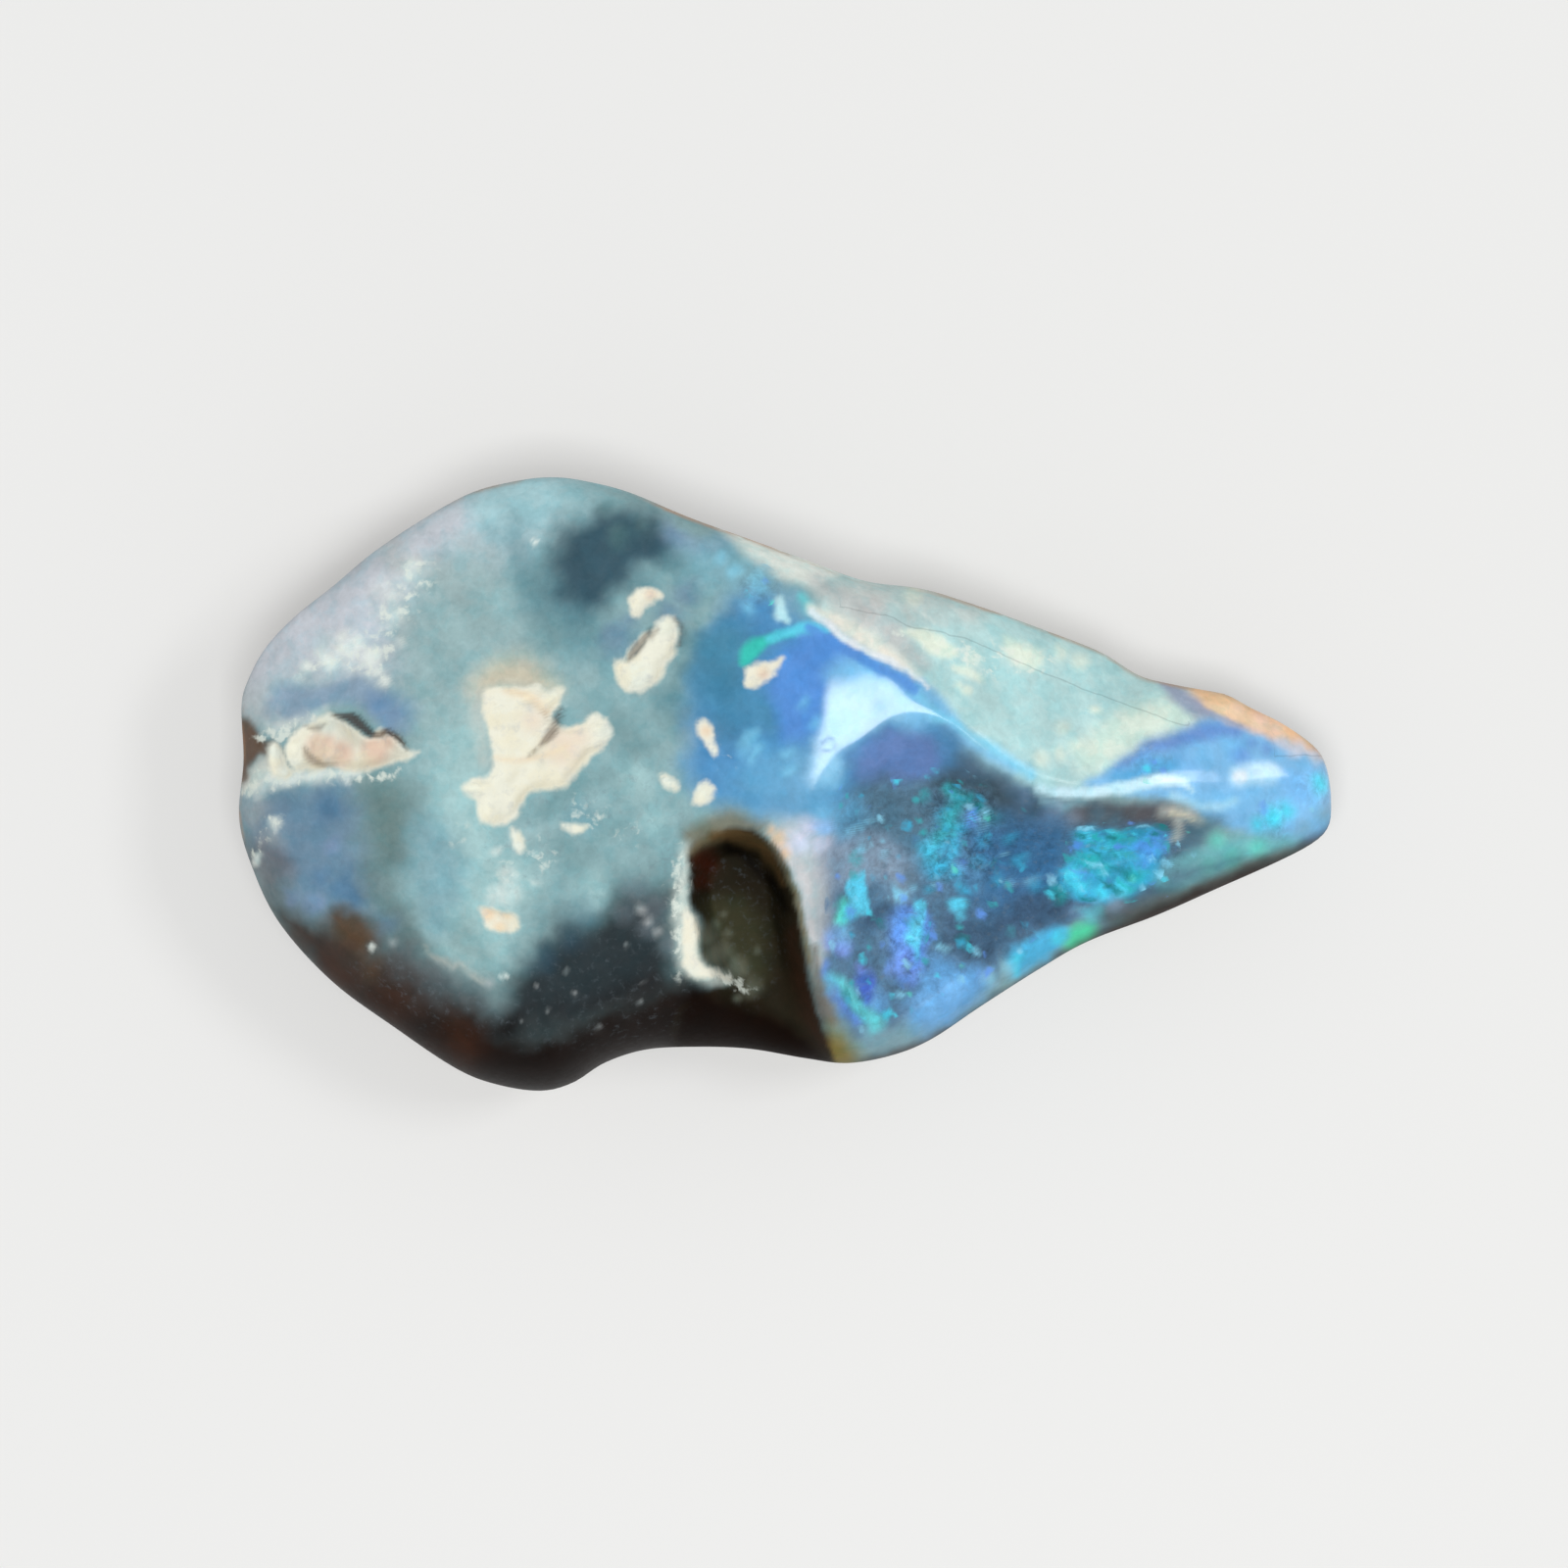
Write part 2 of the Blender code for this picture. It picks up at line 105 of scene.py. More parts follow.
SCOOP = (
    (4.9, 1.7), (3.7, 1.75), (2.5, 1.15), (1.6, 0.2), (1.15, -1.3), (0.85, -2.8), (0.95, -4.6), (1.35, -6.4),
    (1.9, -7.6), (2.8, -7.9), (4.2, -7.35), (5.8, -6.25), (7.7, -5.1), (9.3, -4.2), (11.3, -3.3),
    (13.0, -2.5), (13.4, -1.5), (12.4, -0.75), (10.6, -0.65), (9.0, -0.6), (7.4, -0.25), (6.1, 0.7),
)
SCOOP_DEPTH = 1.75
SCOOP_WALL = 2.7

# x, y, reach to the left, reach to the right, depth, width of the left wall, width of the right wall
GULLY = (
    (-1.45, -2.95, 1.6, 1.65, 2.4, 0.7, 0.9), (-1.2, -4.0, 1.7, 1.65, 2.3, 0.7, 1.1),
    (-0.75, -5.2, 1.8, 1.4, 1.9, 0.9, 1.15), (-0.15, -6.5, 2.3, 1.1, 1.45, 2.2, 1.05),
    (0.3, -7.7, 2.9, 1.0, 1.2, 2.9, 1.0), (0.6, -9.4, 3.2, 0.95, 1.1, 3.2, 0.95),
)
GULLY_SIDE_BLEND = 0.8
SHOULDER_POWER = 0.5

# Bearing, wavelength and height of the slow waves that the rubbing has left
RUBBING_WAVES = ((20.0, 9.0, 0.07), (75.0, 7.0, 0.06), (130.0, 5.5, 0.05))

# Slanting faces round the ground flat of the underside: bearing, distance from the origin, slope
UNDER_FACES = (
    (8.0, 9.0, 0.34), (58.0, 3.6, 0.8), (96.0, 3.4, 0.95), (140.0, 7.6, 0.85), (186.0, 12.6, 0.8),
    (222.0, 8.6, 0.75), (262.0, 5.4, 0.6), (300.0, 4.6, 0.62),
)
FACE_BLEND = 0.5
UNDER_SHOULDER = 1.5
LEAST_WALL = 0.3

# The middle of the mesh's rings, the plan's stretch along x, how the rings crowd at the rim, and the counts
# of steps and cells
HUB = np.array((-1.5, -0.3))
STRETCH = 1.8
RIM_CROWDING = 1.3
CURVE_STEPS = 8
GRID_LONG = 160
GRID_SHORT = 92
# The lattice on which the crests are softened
RELIEF_PITCH = 0.1
RELIEF_SPAN_X = (-17.5, 17.5)
RELIEF_SPAN_Y = (-10.0, 10.0)
BLUR_SHARE = 0.6
LAST_CELL = 1.001
ON_THE_RIM = 1 - 1e-6
WELD_DISTANCE = 1e-7
# How many places are measured against a curve at a time, and the guards against a division or a log of 0
BLOCK = 4000
LEAST_RUN_SQUARED = 1e-12
LEAST_GAP_SQUARED = 1e-9

# Wavelength in millimetres and seed of each noise that moves or shades the skin
NOISES = {
    "swirl_x": (1.6, 1), "swirl_y": (1.6, 2), "ripple_x": (0.45, 3), "ripple_y": (0.45, 4), "potch": (4.0, 5),
    "fray": (1.3, 6), "lumps": (0.55, 11),
}
NOISE_SHIFT = (7.31, 3.17, 1.93)
NOISE_FALL = 0.9
NOISE_STEP = 2.1
NOISE_OCTAVES = 3
# How far the swirl and the ripple move the paint, in pixels
SWIRLED = (11.0, 3.0)
STEADIER = (2.5, 2.0)
RIPPLED_EDGE = 1.5
# How far a curve may bulge past its own points, and the depth that stands for far outside, in pixels
CURVE_BULGE = 4
FAR_OUTSIDE = -1000.0

# The underside's plain skin: the width of its fade at the rim, how that frays, and how its two tints differ
UNDERSIDE_FADE = 1.4
UNDERSIDE_FRAY = 0.7
POTCH_CONTRAST = 1.4

# Host rock that fills shallow pits: outline in pixels, depth of the pit, width of its wall
ROCKS = (
    ("slot", ((296, 752), (316, 737), (340, 728), (358, 738), (376, 751), (392, 744), (408, 752),
        (418, 764), (432, 766), (420, 773), (405, 777), (385, 784), (365, 786), (345, 782), (325, 786),
        (302, 784), (292, 766)), 0.35, 0.4),
    ("slot_left", ((278, 756), (286, 758), (294, 776), (302, 786), (290, 794), (278, 788),
        (275, 772)), 0.1, 0.2),
    ("butterfly", ((497, 706), (512, 700), (530, 702), (548, 699), (560, 706), (576, 700), (573, 716),
        (566, 729), (570, 739), (582, 741), (596, 738), (606, 728), (619, 732), (625, 746), (618, 761),
        (605, 772), (595, 783), (585, 795), (572, 803), (545, 806), (537, 816), (530, 831), (515, 841),
        (500, 840), (490, 831), (488, 815), (474, 806), (481, 795), (500, 790), (505, 775), (501, 745),
        (496, 725)), 0.2, 0.35),
    ("leaf", ((627, 675), (643, 672), (656, 657), (664, 645), (671, 635), (681, 629), (688, 632),
        (692, 642), (691, 655), (689, 667), (681, 678), (675, 690), (666, 700), (654, 707), (642, 706),
        (633, 698), (628, 687)), 0.22, 0.3),
    ("sliver", ((641, 669), (649, 655), (657, 647), (661, 651), (655, 661), (646, 671)), 0.05, 0.15),
    ("cap", ((643, 609), (655, 600), (668, 602), (676, 608), (666, 616), (659, 622), (650, 631),
        (643, 625)), 0.12, 0.25),
    ("blue_fleck", ((759, 695), (760, 684), (770, 677), (785, 675), (798, 671), (794, 680), (784, 692),
        (772, 700), (762, 700)), 0.1, 0.25),
    ("splinter", ((710, 736), (717, 733), (725, 740), (728, 755), (731, 767), (727, 770), (721, 761),
        (713, 748)), 0.1, 0.2),
    ("crumb", ((672, 790), (682, 790), (692, 797), (690, 805), (680, 802)), 0.06, 0.15),
    ("pit_crumb", ((706, 815), (712, 802), (722, 796), (729, 803), (724, 815), (712, 820)), 0.08, 0.2),
    ("brick", ((492, 922), (505, 924), (521, 928), (528, 930), (532, 946), (515, 948), (498, 944),
        (493, 932)), 0.1, 0.15),
    ("flake", ((523, 843), (532, 847), (538, 862), (531, 869), (526, 858)), 0.04, 0.15),
    ("wedge", ((574, 839), (601, 842), (588, 849)), 0.03, 0.15),
    ("pit_lip", ((697, 938), (703, 930), (712, 943), (709, 965), (715, 981), (733, 988), (745, 997),
        (728, 995), (712, 995), (702, 990), (697, 972)), 0.05, 0.2),
)
# The height of the rock's lumps and how far in from its edge they reach it, in millimetres. A margin is how
# far outside a shape a place is still measured, in pixels.
ROCK_LUMPS = 0.09
ROCK_LUMPS_FADE = 0.2
ROCK_MARGIN = 34

# Crevices at the host rock's edges: x, y and half width in pixels, depth in millimetres, and darkness
CREVICES = (
    (((338, 729, 0), (350, 730, 2), (362, 733, 4), (373, 741, 4), (381, 748, 3), (389, 749, 2),
        (397, 745, 2), (408, 752, 2), (418, 764, 0)), 0.3, 0.8),
    (((310, 762, 1), (314, 770, 3), (322, 776, 3), (334, 779, 2), (348, 778, 0)), 0.18, 0.4),
    (((312, 740, 0), (320, 743, 2), (328, 741, 2), (334, 737, 0)), 0.1, 0.5),
    (((574, 720, 0), (571, 730, 2), (567, 742, 4), (560, 752, 3), (552, 761, 1), (543, 769, 1)), 0.22, 0.6),
    (((666, 640, 1), (658, 652, 3), (650, 662, 4), (642, 673, 1)), 0.2, 0.6),
    (((688, 630, 1), (696, 642, 2), (693, 658, 1)), 0.12, 0.45),
    (((656, 654, 0), (664, 650, 2), (672, 641, 1)), 0.1, 0.45),
)
# How far a crevice has come at its drawn edge, from 0 to 1, and the width of its wall and of its shade
CREVICE_START = 0.6
CREVICE_WALL = 0.12
CREVICE_SHADE_WALL = 0.14
CREVICE_MARGIN = 17

# Hairline cracks, in pixels
HAIRLINES = (
    ((855, 619), (880, 624), (900, 627), (930, 640), (960, 645), (985, 652), (1005, 660), (1040, 676),
        (1065, 686), (1100, 700), (1150, 719), (1200, 737), (1212, 739)),
    ((1298, 770), (1320, 769), (1352, 770)),
)
HAIRLINE_MARGIN = 30
# What keeps the places past a crack's ends off it, in pixels, and the depths that stand for far away
PAST_THE_END = 1
FAR_FROM_CRACK = 1.0
FAR_FROM_ROCK = -1.0

# The colours of the stone and of its painted highlights and sheen, each as red, green and blue from 0 to 255
COLOURS = {
    "teal": (137, 170, 174), "lavender_and_painted_sheen": (202, 206, 214), "aqua": (160, 198, 204), "wisp": (190, 194, 194),
    "pale_aqua": (168, 203, 204), "deep_teal": (98, 140, 150), "navy_cloud": (58, 84, 97),
    "glade": (90, 122, 124), "veil": (130, 152, 186), "shoulder": (124, 170, 184),
    "slate_blue": (96, 126, 156), "dusk": (100, 136, 142), "sea": (72, 130, 152),
    "arc_blue": (138, 162, 184), "arc_core": (112, 146, 182), "flank_blue": (110, 138, 162),
    "spot_blue": (84, 124, 156), "grey_green": (100, 122, 120), "moss_grey": (104, 124, 124),
    "edge_brown": (106, 76, 56), "mauve_brown": (112, 97, 94), "brown": (90, 66, 44), "umber": (52, 30, 18),
    "black_brown": (30, 14, 7), "bitter": (16, 5, 2), "dark_slate": (38, 44, 48),
    "mauve_grey": (80, 84, 88), "tongue": (118, 146, 148), "ink_blue": (50, 75, 90),
    "cloud_white": (228, 236, 230), "cream_fade": (200, 200, 190), "cream": (231, 230, 214),
    "chalk": (224, 232, 222), "pink_cream": (226, 197, 177), "peach": (232, 205, 172),
    "dark_rock": (74, 50, 40), "blue": (80, 140, 188), "teal_blue": (72, 132, 165),
    "pure_blue": (88, 142, 212), "light_blue": (104, 168, 206), "painted_glare": (150, 206, 238),
    "green_arc": (60, 195, 180), "cyan_arc": (95, 205, 230), "snow_blue": (190, 230, 236),
    "white_and_painted_highlight": (226, 232, 236), "ridge_cream": (232, 227, 214), "sky": (122, 187, 232),
    "sparkle": (135, 212, 240), "violet_blue": (104, 132, 186), "mint": (180, 214, 214),
    "mint_grey": (204, 210, 206), "mint_rose": (200, 196, 194), "mint_cream": (228, 236, 218),
    "mint_aqua": (150, 202, 216), "tip_blue": (128, 186, 230), "tip_violet": (108, 144, 208),
    "tip_teal": (84, 160, 208), "slate_lilac": (150, 160, 185), "orange": (246, 200, 156),
    "orange_rose": (250, 214, 196), "lilac_grey": (202, 208, 222), "bright_cyan": (78, 212, 236),
    "azure": (128, 190, 242), "ridge_painted_highlight": (192, 226, 236), "band_grey": (86, 84, 88),
    "band_slate": (84, 112, 128), "band_stone": (184, 184, 178), "shelf_teal": (112, 178, 184),
    "shelf_green": (106, 202, 190), "rim_brown": (72, 58, 52), "scoop": (84, 116, 144),
    "scoop_dark": (64, 80, 88), "scoop_teal": (84, 115, 134), "scoop_mauve": (142, 160, 180),
    "violet": (125, 145, 226), "cyan": (95, 206, 236), "sea_green": (95, 220, 205), "night": (62, 86, 112),
    "column_blue": (100, 150, 230), "column_violet": (125, 158, 240), "deep_blue": (58, 106, 148),
    "turquoise": (60, 166, 176), "dark_turquoise": (34, 124, 130), "ice": (135, 200, 226),
    "edge_cyan": (82, 182, 226), "green": (85, 220, 170), "flash": (62, 168, 205),
    "flash_green": (45, 176, 180), "flash_blue": (85, 150, 226), "shore": (100, 200, 206),
    "shore_blue": (100, 142, 220), "indigo": (82, 112, 216), "shallow": (106, 166, 220),
    "olive": (130, 124, 52), "rim_teal": (130, 164, 178), "crest": (196, 196, 198),
    "crest_lilac": (214, 214, 235), "crest_peach": (222, 190, 156), "crest_blue": (150, 194, 244),
    "crest_low": (118, 112, 104), "halo": (114, 106, 82), "pit": (40, 34, 23), "pit_rim": (92, 72, 44),
    "pit_red": (72, 28, 15), "pit_black": (12, 8, 5), "pit_olive": (64, 63, 44), "pit_wall": (50, 32, 21),
    "potch": (62, 58, 58), "tan": (150, 126, 100), "painted_highlight": (208, 240, 252), "tip_deep": (104, 166, 218),
    "back_cream": (232, 238, 230), "wedge_brown": (44, 30, 24), "butter": (232, 222, 192),
    "left_haze": (176, 184, 186), "peach_grey": (206, 196, 172), "orange_brown": (150, 108, 52),
    "sky_blue_and_painted_halo": (130, 196, 236), "rim_tan": (190, 140, 100), "still_teal": (156, 184, 186),
    "teal_stroke": (112, 146, 150), "red_brown": (80, 44, 24), "haze": (112, 124, 132),
    "sea_haze": (132, 170, 180), "smear": (120, 124, 108),
}

# Each row is a kind of shape, a colour, the softness of its edge in pixels, its strength and its points.
# An area has points round its outline. A streak has points along it, each with a half width, and discs
# have a radius each. Later rows lie over earlier ones.
PAINT = (
    # A milky lavender tint over the north-west shoulder: partly its own colour, partly painted sheen
    ("area", "lavender_and_painted_sheen", 45, 0.95, ((235, 720), (240, 650), (300, 590), (400, 525), (500, 490), (560, 500),
        (520, 560), (450, 590), (420, 640), (395, 690), (330, 690), (270, 715))),
    ("area", "aqua", 25, 0.9, ((480, 505), (540, 480), (620, 488), (600, 520), (545, 545), (500, 550))),
    ("streak", "wisp", 15, 0.7, ((400, 560, 12), (440, 585, 16), (470, 600, 10))),
    ("area", "deep_teal", 28, 0.85, ((520, 545), (570, 590), (610, 635), (620, 680), (560, 660),
        (520, 620))),
    ("area", "pale_aqua", 30, 0.85, ((440, 760), (470, 715), (500, 730), (515, 850), (545, 870), (525, 960),
        (485, 1000), (440, 960), (420, 900), (445, 840))),
    ("area", "navy_cloud", 18, 0.98, ((594, 530), (618, 519), (648, 523), (678, 533), (694, 550),
        (686, 568), (662, 574), (646, 590), (624, 606), (614, 624), (590, 630), (568, 606), (566, 572),
        (572, 544))),
    ("discs", "glade", 12, 0.6, ((630, 550, 12), (652, 537, 6), (622, 520, 6))),
    ("streak", "veil", 15, 0.6, ((688, 540, 8), (710, 555, 10), (735, 560, 8))),
    ("area", "shoulder", 20, 0.8, ((700, 565), (745, 552), (790, 590), (765, 612), (720, 600))),
    ("discs", "slate_blue", 12, 0.6, ((630, 655, 14), (640, 640, 10), (682, 620, 12), (700, 600, 12))),
    ("discs", "dusk", 14, 0.7, ((688, 712, 14), (700, 685, 12), (716, 662, 14), (690, 740, 14))),
    ("area", "sea", 18, 0.8, ((712, 650), (745, 645), (762, 690), (740, 730), (712, 720))),
    ("area", "arc_blue", 9, 0.9, ((285, 706), (325, 696), (350, 683), (375, 690), (400, 702), (428, 712),
        (425, 735), (400, 746), (375, 728), (340, 720), (300, 738), (275, 732))),
    ("discs", "arc_core", 12, 0.8, ((392, 718, 14), (405, 728, 12))),
    ("area", "flank_blue", 25, 0.9, ((248, 806), (300, 800), (360, 800), (370, 850), (385, 900), (375, 935),
        (320, 935), (282, 900), (250, 850))),
    ("discs", "spot_blue", 12, 0.75, ((335, 820, 14), (360, 905, 18), (330, 890, 10), (395, 940, 12))),
    ("area", "left_haze", 20, 0.7, ((236, 690), (262, 700), (300, 742), (275, 745), (252, 735),
        (236, 730))),
    ("discs", "left_haze", 16, 0.7, ((262, 822, 16), (280, 850, 10))),
    ("area", "grey_green", 26, 0.85, ((378, 800), (408, 795), (425, 830), (412, 870), (395, 880),
        (375, 860), (368, 830))),
    ("area", "moss_grey", 12, 0.6, ((370, 880), (408, 890), (420, 930), (450, 958), (420, 965),
        (390, 930))),
    ("area", "edge_brown", 8, 0.9, ((236, 735), (260, 742), (275, 775), (262, 784), (250, 800),
        (234, 790))),
    ("streak", "edge_brown", 6, 0.6, ((268, 765, 6), (284, 760, 3), (294, 774, 3))),
    ("area", "mauve_brown", 18, 0.6, ((240, 862), (272, 852), (292, 870), (290, 905), (268, 905))),
    ("discs", "veil", 8, 0.6, ((322, 918, 9), (300, 915, 7), (345, 860, 8))),
    ("area", "umber", 24, 0.9, ((270, 915), (320, 938), (370, 950), (420, 975), (455, 1005), (500, 1030),
        (500, 1090), (430, 1090), (330, 1010))),
    ("area", "brown", 12, 0.9, ((335, 935), (365, 928), (388, 955), (368, 968), (342, 958))),
    ("area", "dark_slate", 30, 0.97, ((496, 1060), (512, 1012), (540, 968), (578, 940), (620, 918),
        (662, 898), (690, 905), (694, 985), (690, 1015), (600, 1050))),
    ("area", "black_brown", 30, 0.97, ((280, 950), (340, 985), (400, 1005), (460, 1028), (530, 1042),
        (600, 1030), (690, 990), (760, 1012), (820, 1036), (850, 1085), (830, 1110), (560, 1135),
        (450, 1120))),
    ("area", "bitter", 18, 0.9, ((430, 1055), (500, 1065), (600, 1055), (700, 1022), (790, 1040),
        (845, 1090), (560, 1135), (470, 1120))),
    ("area", "mauve_grey", 15, 0.6, ((400, 958), (450, 975), (500, 1003), (512, 1032), (450, 1022),
        (410, 992))),
    ("discs", "mauve_grey", 14, 0.55, ((445, 992, 12), (415, 960, 12), (388, 956, 8))),
    ("discs", "sea", 14, 0.3, ((596, 926, 16), (598, 834, 14))),
    ("discs", "brown", 12, 0.5, ((381, 984, 12),)),
    ("streak", "tongue", 12, 0.5, ((480, 955, 18), (497, 985, 14), (505, 1012, 8))),
    ("streak", "cream_fade", 4, 0.45, ((437, 958, 3), (441, 968, 3), (450, 975, 3), (470, 985, 3),
        (490, 1000, 3))),
    ("discs", "ink_blue", 15, 0.7, ((552, 975, 18), (585, 955, 12))),
    ("discs", "cloud_white", 16, 0.35, ((408, 625, 16), (400, 600, 14), (420, 580, 14), (350, 665, 22))),
    ("streak", "cloud_white", 8, 0.55, ((282, 742, 5), (300, 738, 5), (330, 727, 5))),
    ("streak", "cloud_white", 8, 0.75, ((250, 802, 5), (270, 795, 9), (300, 792, 8), (340, 790, 7),
        (375, 790, 6))),
    ("streak", "cream_fade", 7, 0.7, ((252, 800, 3), (270, 790, 6), (286, 776, 6))),
    ("discs", "cloud_white", 5, 0.7, ((285, 838, 6), (360, 800, 4), (508, 864, 5), (548, 897, 4),
        (266, 876, 6))),
    ("streak", "cloud_white", 8, 0.6, ((518, 893, 9), (522, 910, 8), (506, 914, 4))),
    ("discs", "cloud_white", 3, 0.9, ((549, 552, 3), (545, 549, 2), (382, 963, 3))),
    ("streak", "cloud_white", 3, 0.95, ((507, 991, 2), (515, 993, 3))),
    ("area", "still_teal", 30, 0.8, ((405, 640), (440, 580), (500, 560), (560, 650), (600, 690), (490, 720),
        (440, 770), (415, 700))),
    ("area", "sea_haze", 22, 0.85, ((425, 845), (462, 845), (475, 900), (458, 945), (425, 925))),
    ("discs", "moss_grey", 18, 0.6, ((412, 868, 14), (414, 950, 14), (436, 968, 10), (395, 925, 12))),
    ("discs", "deep_teal", 16, 0.8, ((698, 655, 14), (702, 688, 14), (688, 715, 12), (660, 595, 12),
        (690, 570, 14))),
    ("streak", "teal_stroke", 14, 0.7, ((556, 828, 8), (580, 812, 10), (604, 796, 8), (624, 800, 6))),
    ("streak", "teal_stroke", 14, 0.6, ((545, 860, 6), (570, 868, 9), (600, 860, 8), (630, 846, 8))),
    ("discs", "teal_stroke", 16, 0.6, ((640, 740, 16), (560, 655, 14), (655, 765, 10), (590, 880, 10))),
    ("discs", "pale_aqua", 16, 0.6, ((650, 800, 16), (600, 905, 16), (665, 835, 12), (540, 900, 12),
        (560, 700, 10))),
    ("discs", "red_brown", 30, 0.5, ((300, 955, 14), (345, 985, 18), (400, 1010, 16), (470, 1060, 16))),
    ("area", "blue", 20, 0.97, ((715, 655), (745, 617), (790, 602), (822, 632), (860, 655), (905, 678),
        (950, 715), (985, 755), (975, 790), (900, 800), (850, 832), (790, 832), (735, 820), (705, 795),
        (700, 745))),
    ("area", "sea", 20, 0.75, ((708, 650), (745, 632), (770, 655), (755, 705), (715, 705))),
    ("area", "teal_blue", 16, 0.8, ((715, 690), (760, 700), (800, 715), (790, 745), (740, 750),
        (715, 740))),
    ("area", "pure_blue", 15, 0.95, ((790, 665), (830, 645), (870, 662), (910, 682), (935, 706), (880, 692),
        (850, 702), (835, 740), (800, 752), (786, 705))),
    ("area", "light_blue", 18, 0.75, ((755, 775), (830, 765), (852, 800), (840, 830), (785, 822),
        (745, 806))),
    # A paler blue patch under the window's highlight: painted highlight, under the lamp's real reflection
    ("area", "painted_glare", 11, 0.8, ((848, 708), (880, 694), (905, 702), (924, 722), (918, 735), (890, 742),
        (864, 762), (850, 790), (832, 800), (830, 780), (838, 745))),
    ("discs", "sparkle", 8, 0.5, ((768, 622, 7), (775, 595, 6), (752, 585, 7), (735, 572, 5), (818, 715, 4),
        (830, 733, 5), (805, 768, 4), (808, 788, 4), (762, 757, 8), (772, 766, 6))),
    ("area", "violet_blue", 12, 0.95, ((868, 778), (885, 755), (910, 744), (945, 748), (960, 770),
        (940, 795), (900, 805), (870, 800))),
    ("area", "scoop", 12, 0.95, ((880, 800), (940, 795), (980, 770), (1010, 775), (1060, 805), (1120, 822),
        (1200, 825), (1215, 850), (1190, 905), (1100, 940), (1050, 975), (960, 1030), (880, 1062),
        (850, 1040), (836, 980), (836, 900), (845, 840))),
    ("area", "scoop_teal", 20, 0.8, ((868, 800), (930, 800), (960, 830), (940, 865), (890, 865),
        (862, 840))),
    ("area", "scoop_mauve", 16, 0.85, ((842, 862), (900, 858), (932, 882), (915, 912), (892, 895),
        (850, 905), (834, 895))),
    ("area", "scoop_dark", 17, 0.92, ((945, 796), (975, 782), (1008, 786), (1032, 803), (1060, 814),
        (1112, 822), (1110, 832), (1060, 832), (1020, 822), (990, 802), (960, 808))),
    ("area", "deep_blue", 22, 0.85, ((985, 850), (1050, 830), (1090, 850), (1085, 900), (1040, 930),
        (990, 920))),
    ("area", "night", 14, 0.85, ((1035, 915), (1085, 905), (1100, 925), (1060, 950), (1010, 945))),
    ("area", "night", 14, 0.7, ((960, 930), (1000, 935), (1030, 955), (1010, 985), (975, 975))),
    ("discs", "night", 10, 0.85, ((892, 938, 12), (902, 930, 8))),
    ("streak", "mint_aqua", 6, 0.5, ((1065, 815, 4), (1090, 823, 6), (1105, 820, 4))),
    ("area", "cyan", 3, 0.95, ((866, 900), (876, 888), (887, 889), (888, 920), (881, 930), (870, 917))),
    ("area", "sea_green", 5, 0.9, ((861, 914), (872, 924), (868, 938), (856, 941), (849, 932))),
    ("discs", "violet", 9, 0.9, ((848, 958, 9), (860, 965, 8))),
    ("area", "column_blue", 9, 0.9, ((908, 932), (925, 924), (946, 944), (945, 970), (936, 996), (915, 990),
        (904, 970))),
    ("streak", "cyan", 5, 0.9, ((932, 938, 6), (928, 955, 8), (930, 970, 5))),
    ("discs", "column_violet", 9, 0.85, ((918, 980, 12), (936, 988, 9))),
    ("discs", "ice", 4, 0.9, ((916, 911, 6), (965, 967, 4), (995, 967, 4), (1020, 868, 3), (1054, 900, 4),
        (860, 853, 3), (875, 862, 4), (924, 1008, 4))),
    ("discs", "cyan", 4, 0.95, ((934, 925, 7), (977, 924, 8))),
    ("discs", "dark_turquoise", 8, 0.9, ((995, 822, 10), (1008, 832, 8), (980, 812, 8))),
    ("discs", "light_blue", 14, 0.7, ((862, 832, 15), (852, 850, 8))),
    ("discs", "shallow", 12, 0.7, ((893, 1014, 13), (955, 988, 14))),
    ("discs", "deep_blue", 12, 0.8, ((1066, 898, 14), (1074, 880, 8))),
    ("discs", "arc_core", 12, 0.5, ((1072, 834, 12), (1100, 932, 8), (1040, 812, 8))),
    ("discs", "flash", 12, 0.5, ((955, 868, 18), (968, 845, 12))),
    ("discs", "flash", 6, 0.75, ((975, 848, 6), (958, 838, 5), (985, 905, 6), (1003, 858, 4), (992, 876, 5),
        (1015, 895, 5), (948, 905, 5), (1040, 880, 5), (1060, 905, 6), (1030, 850, 4))),
    ("discs", "ice", 4, 0.7, ((962, 868, 4), (972, 886, 4), (950, 858, 3), (1004, 846, 3), (956, 898, 3),
        (1034, 900, 3), (880, 840, 3), (905, 870, 3), (930, 900, 3), (870, 848, 3))),
    ("streak", "turquoise", 6, 0.9, ((966, 804, 6), (970, 822, 6), (966, 842, 6), (955, 856, 5))),
    ("streak", "column_blue", 3, 0.9, ((988, 828, 5), (989, 845, 3))),
    ("streak", "ice", 3, 0.9, ((1006, 828, 4), (1005, 842, 3))),
    ("discs", "flash", 6, 0.85, ((948, 864, 6), (966, 868, 8), (958, 884, 8), (972, 892, 6))),
    ("streak", "spot_blue", 6, 0.8, ((983, 868, 5), (994, 885, 5), (998, 902, 5))),
    ("area", "edge_cyan", 7, 0.95, ((1040, 962), (1070, 949), (1090, 954), (1080, 968), (1050, 986),
        (1034, 990), (1030, 976))),
    ("discs", "bright_cyan", 6, 0.8, ((1076, 957, 6), (1040, 976, 5), (1040, 985, 4))),
    ("area", "green", 8, 0.95, ((1085, 962), (1095, 945), (1110, 938), (1113, 952), (1096, 970))),
    ("discs", "shore", 8, 0.7, ((1108, 932, 7), (1120, 925, 6))),
    ("discs", "dark_turquoise", 5, 0.9, ((1082, 914, 8),)),
    ("discs", "flash_green", 4, 0.7, ((1084, 912, 5),)),
    ("area", "flash", 5, 0.97, ((1098, 850), (1110, 843), (1135, 840), (1165, 842), (1187, 846),
        (1191, 860), (1182, 880), (1190, 890), (1170, 900), (1150, 915), (1120, 916), (1098, 915),
        (1086, 905), (1085, 893), (1096, 880), (1098, 865))),
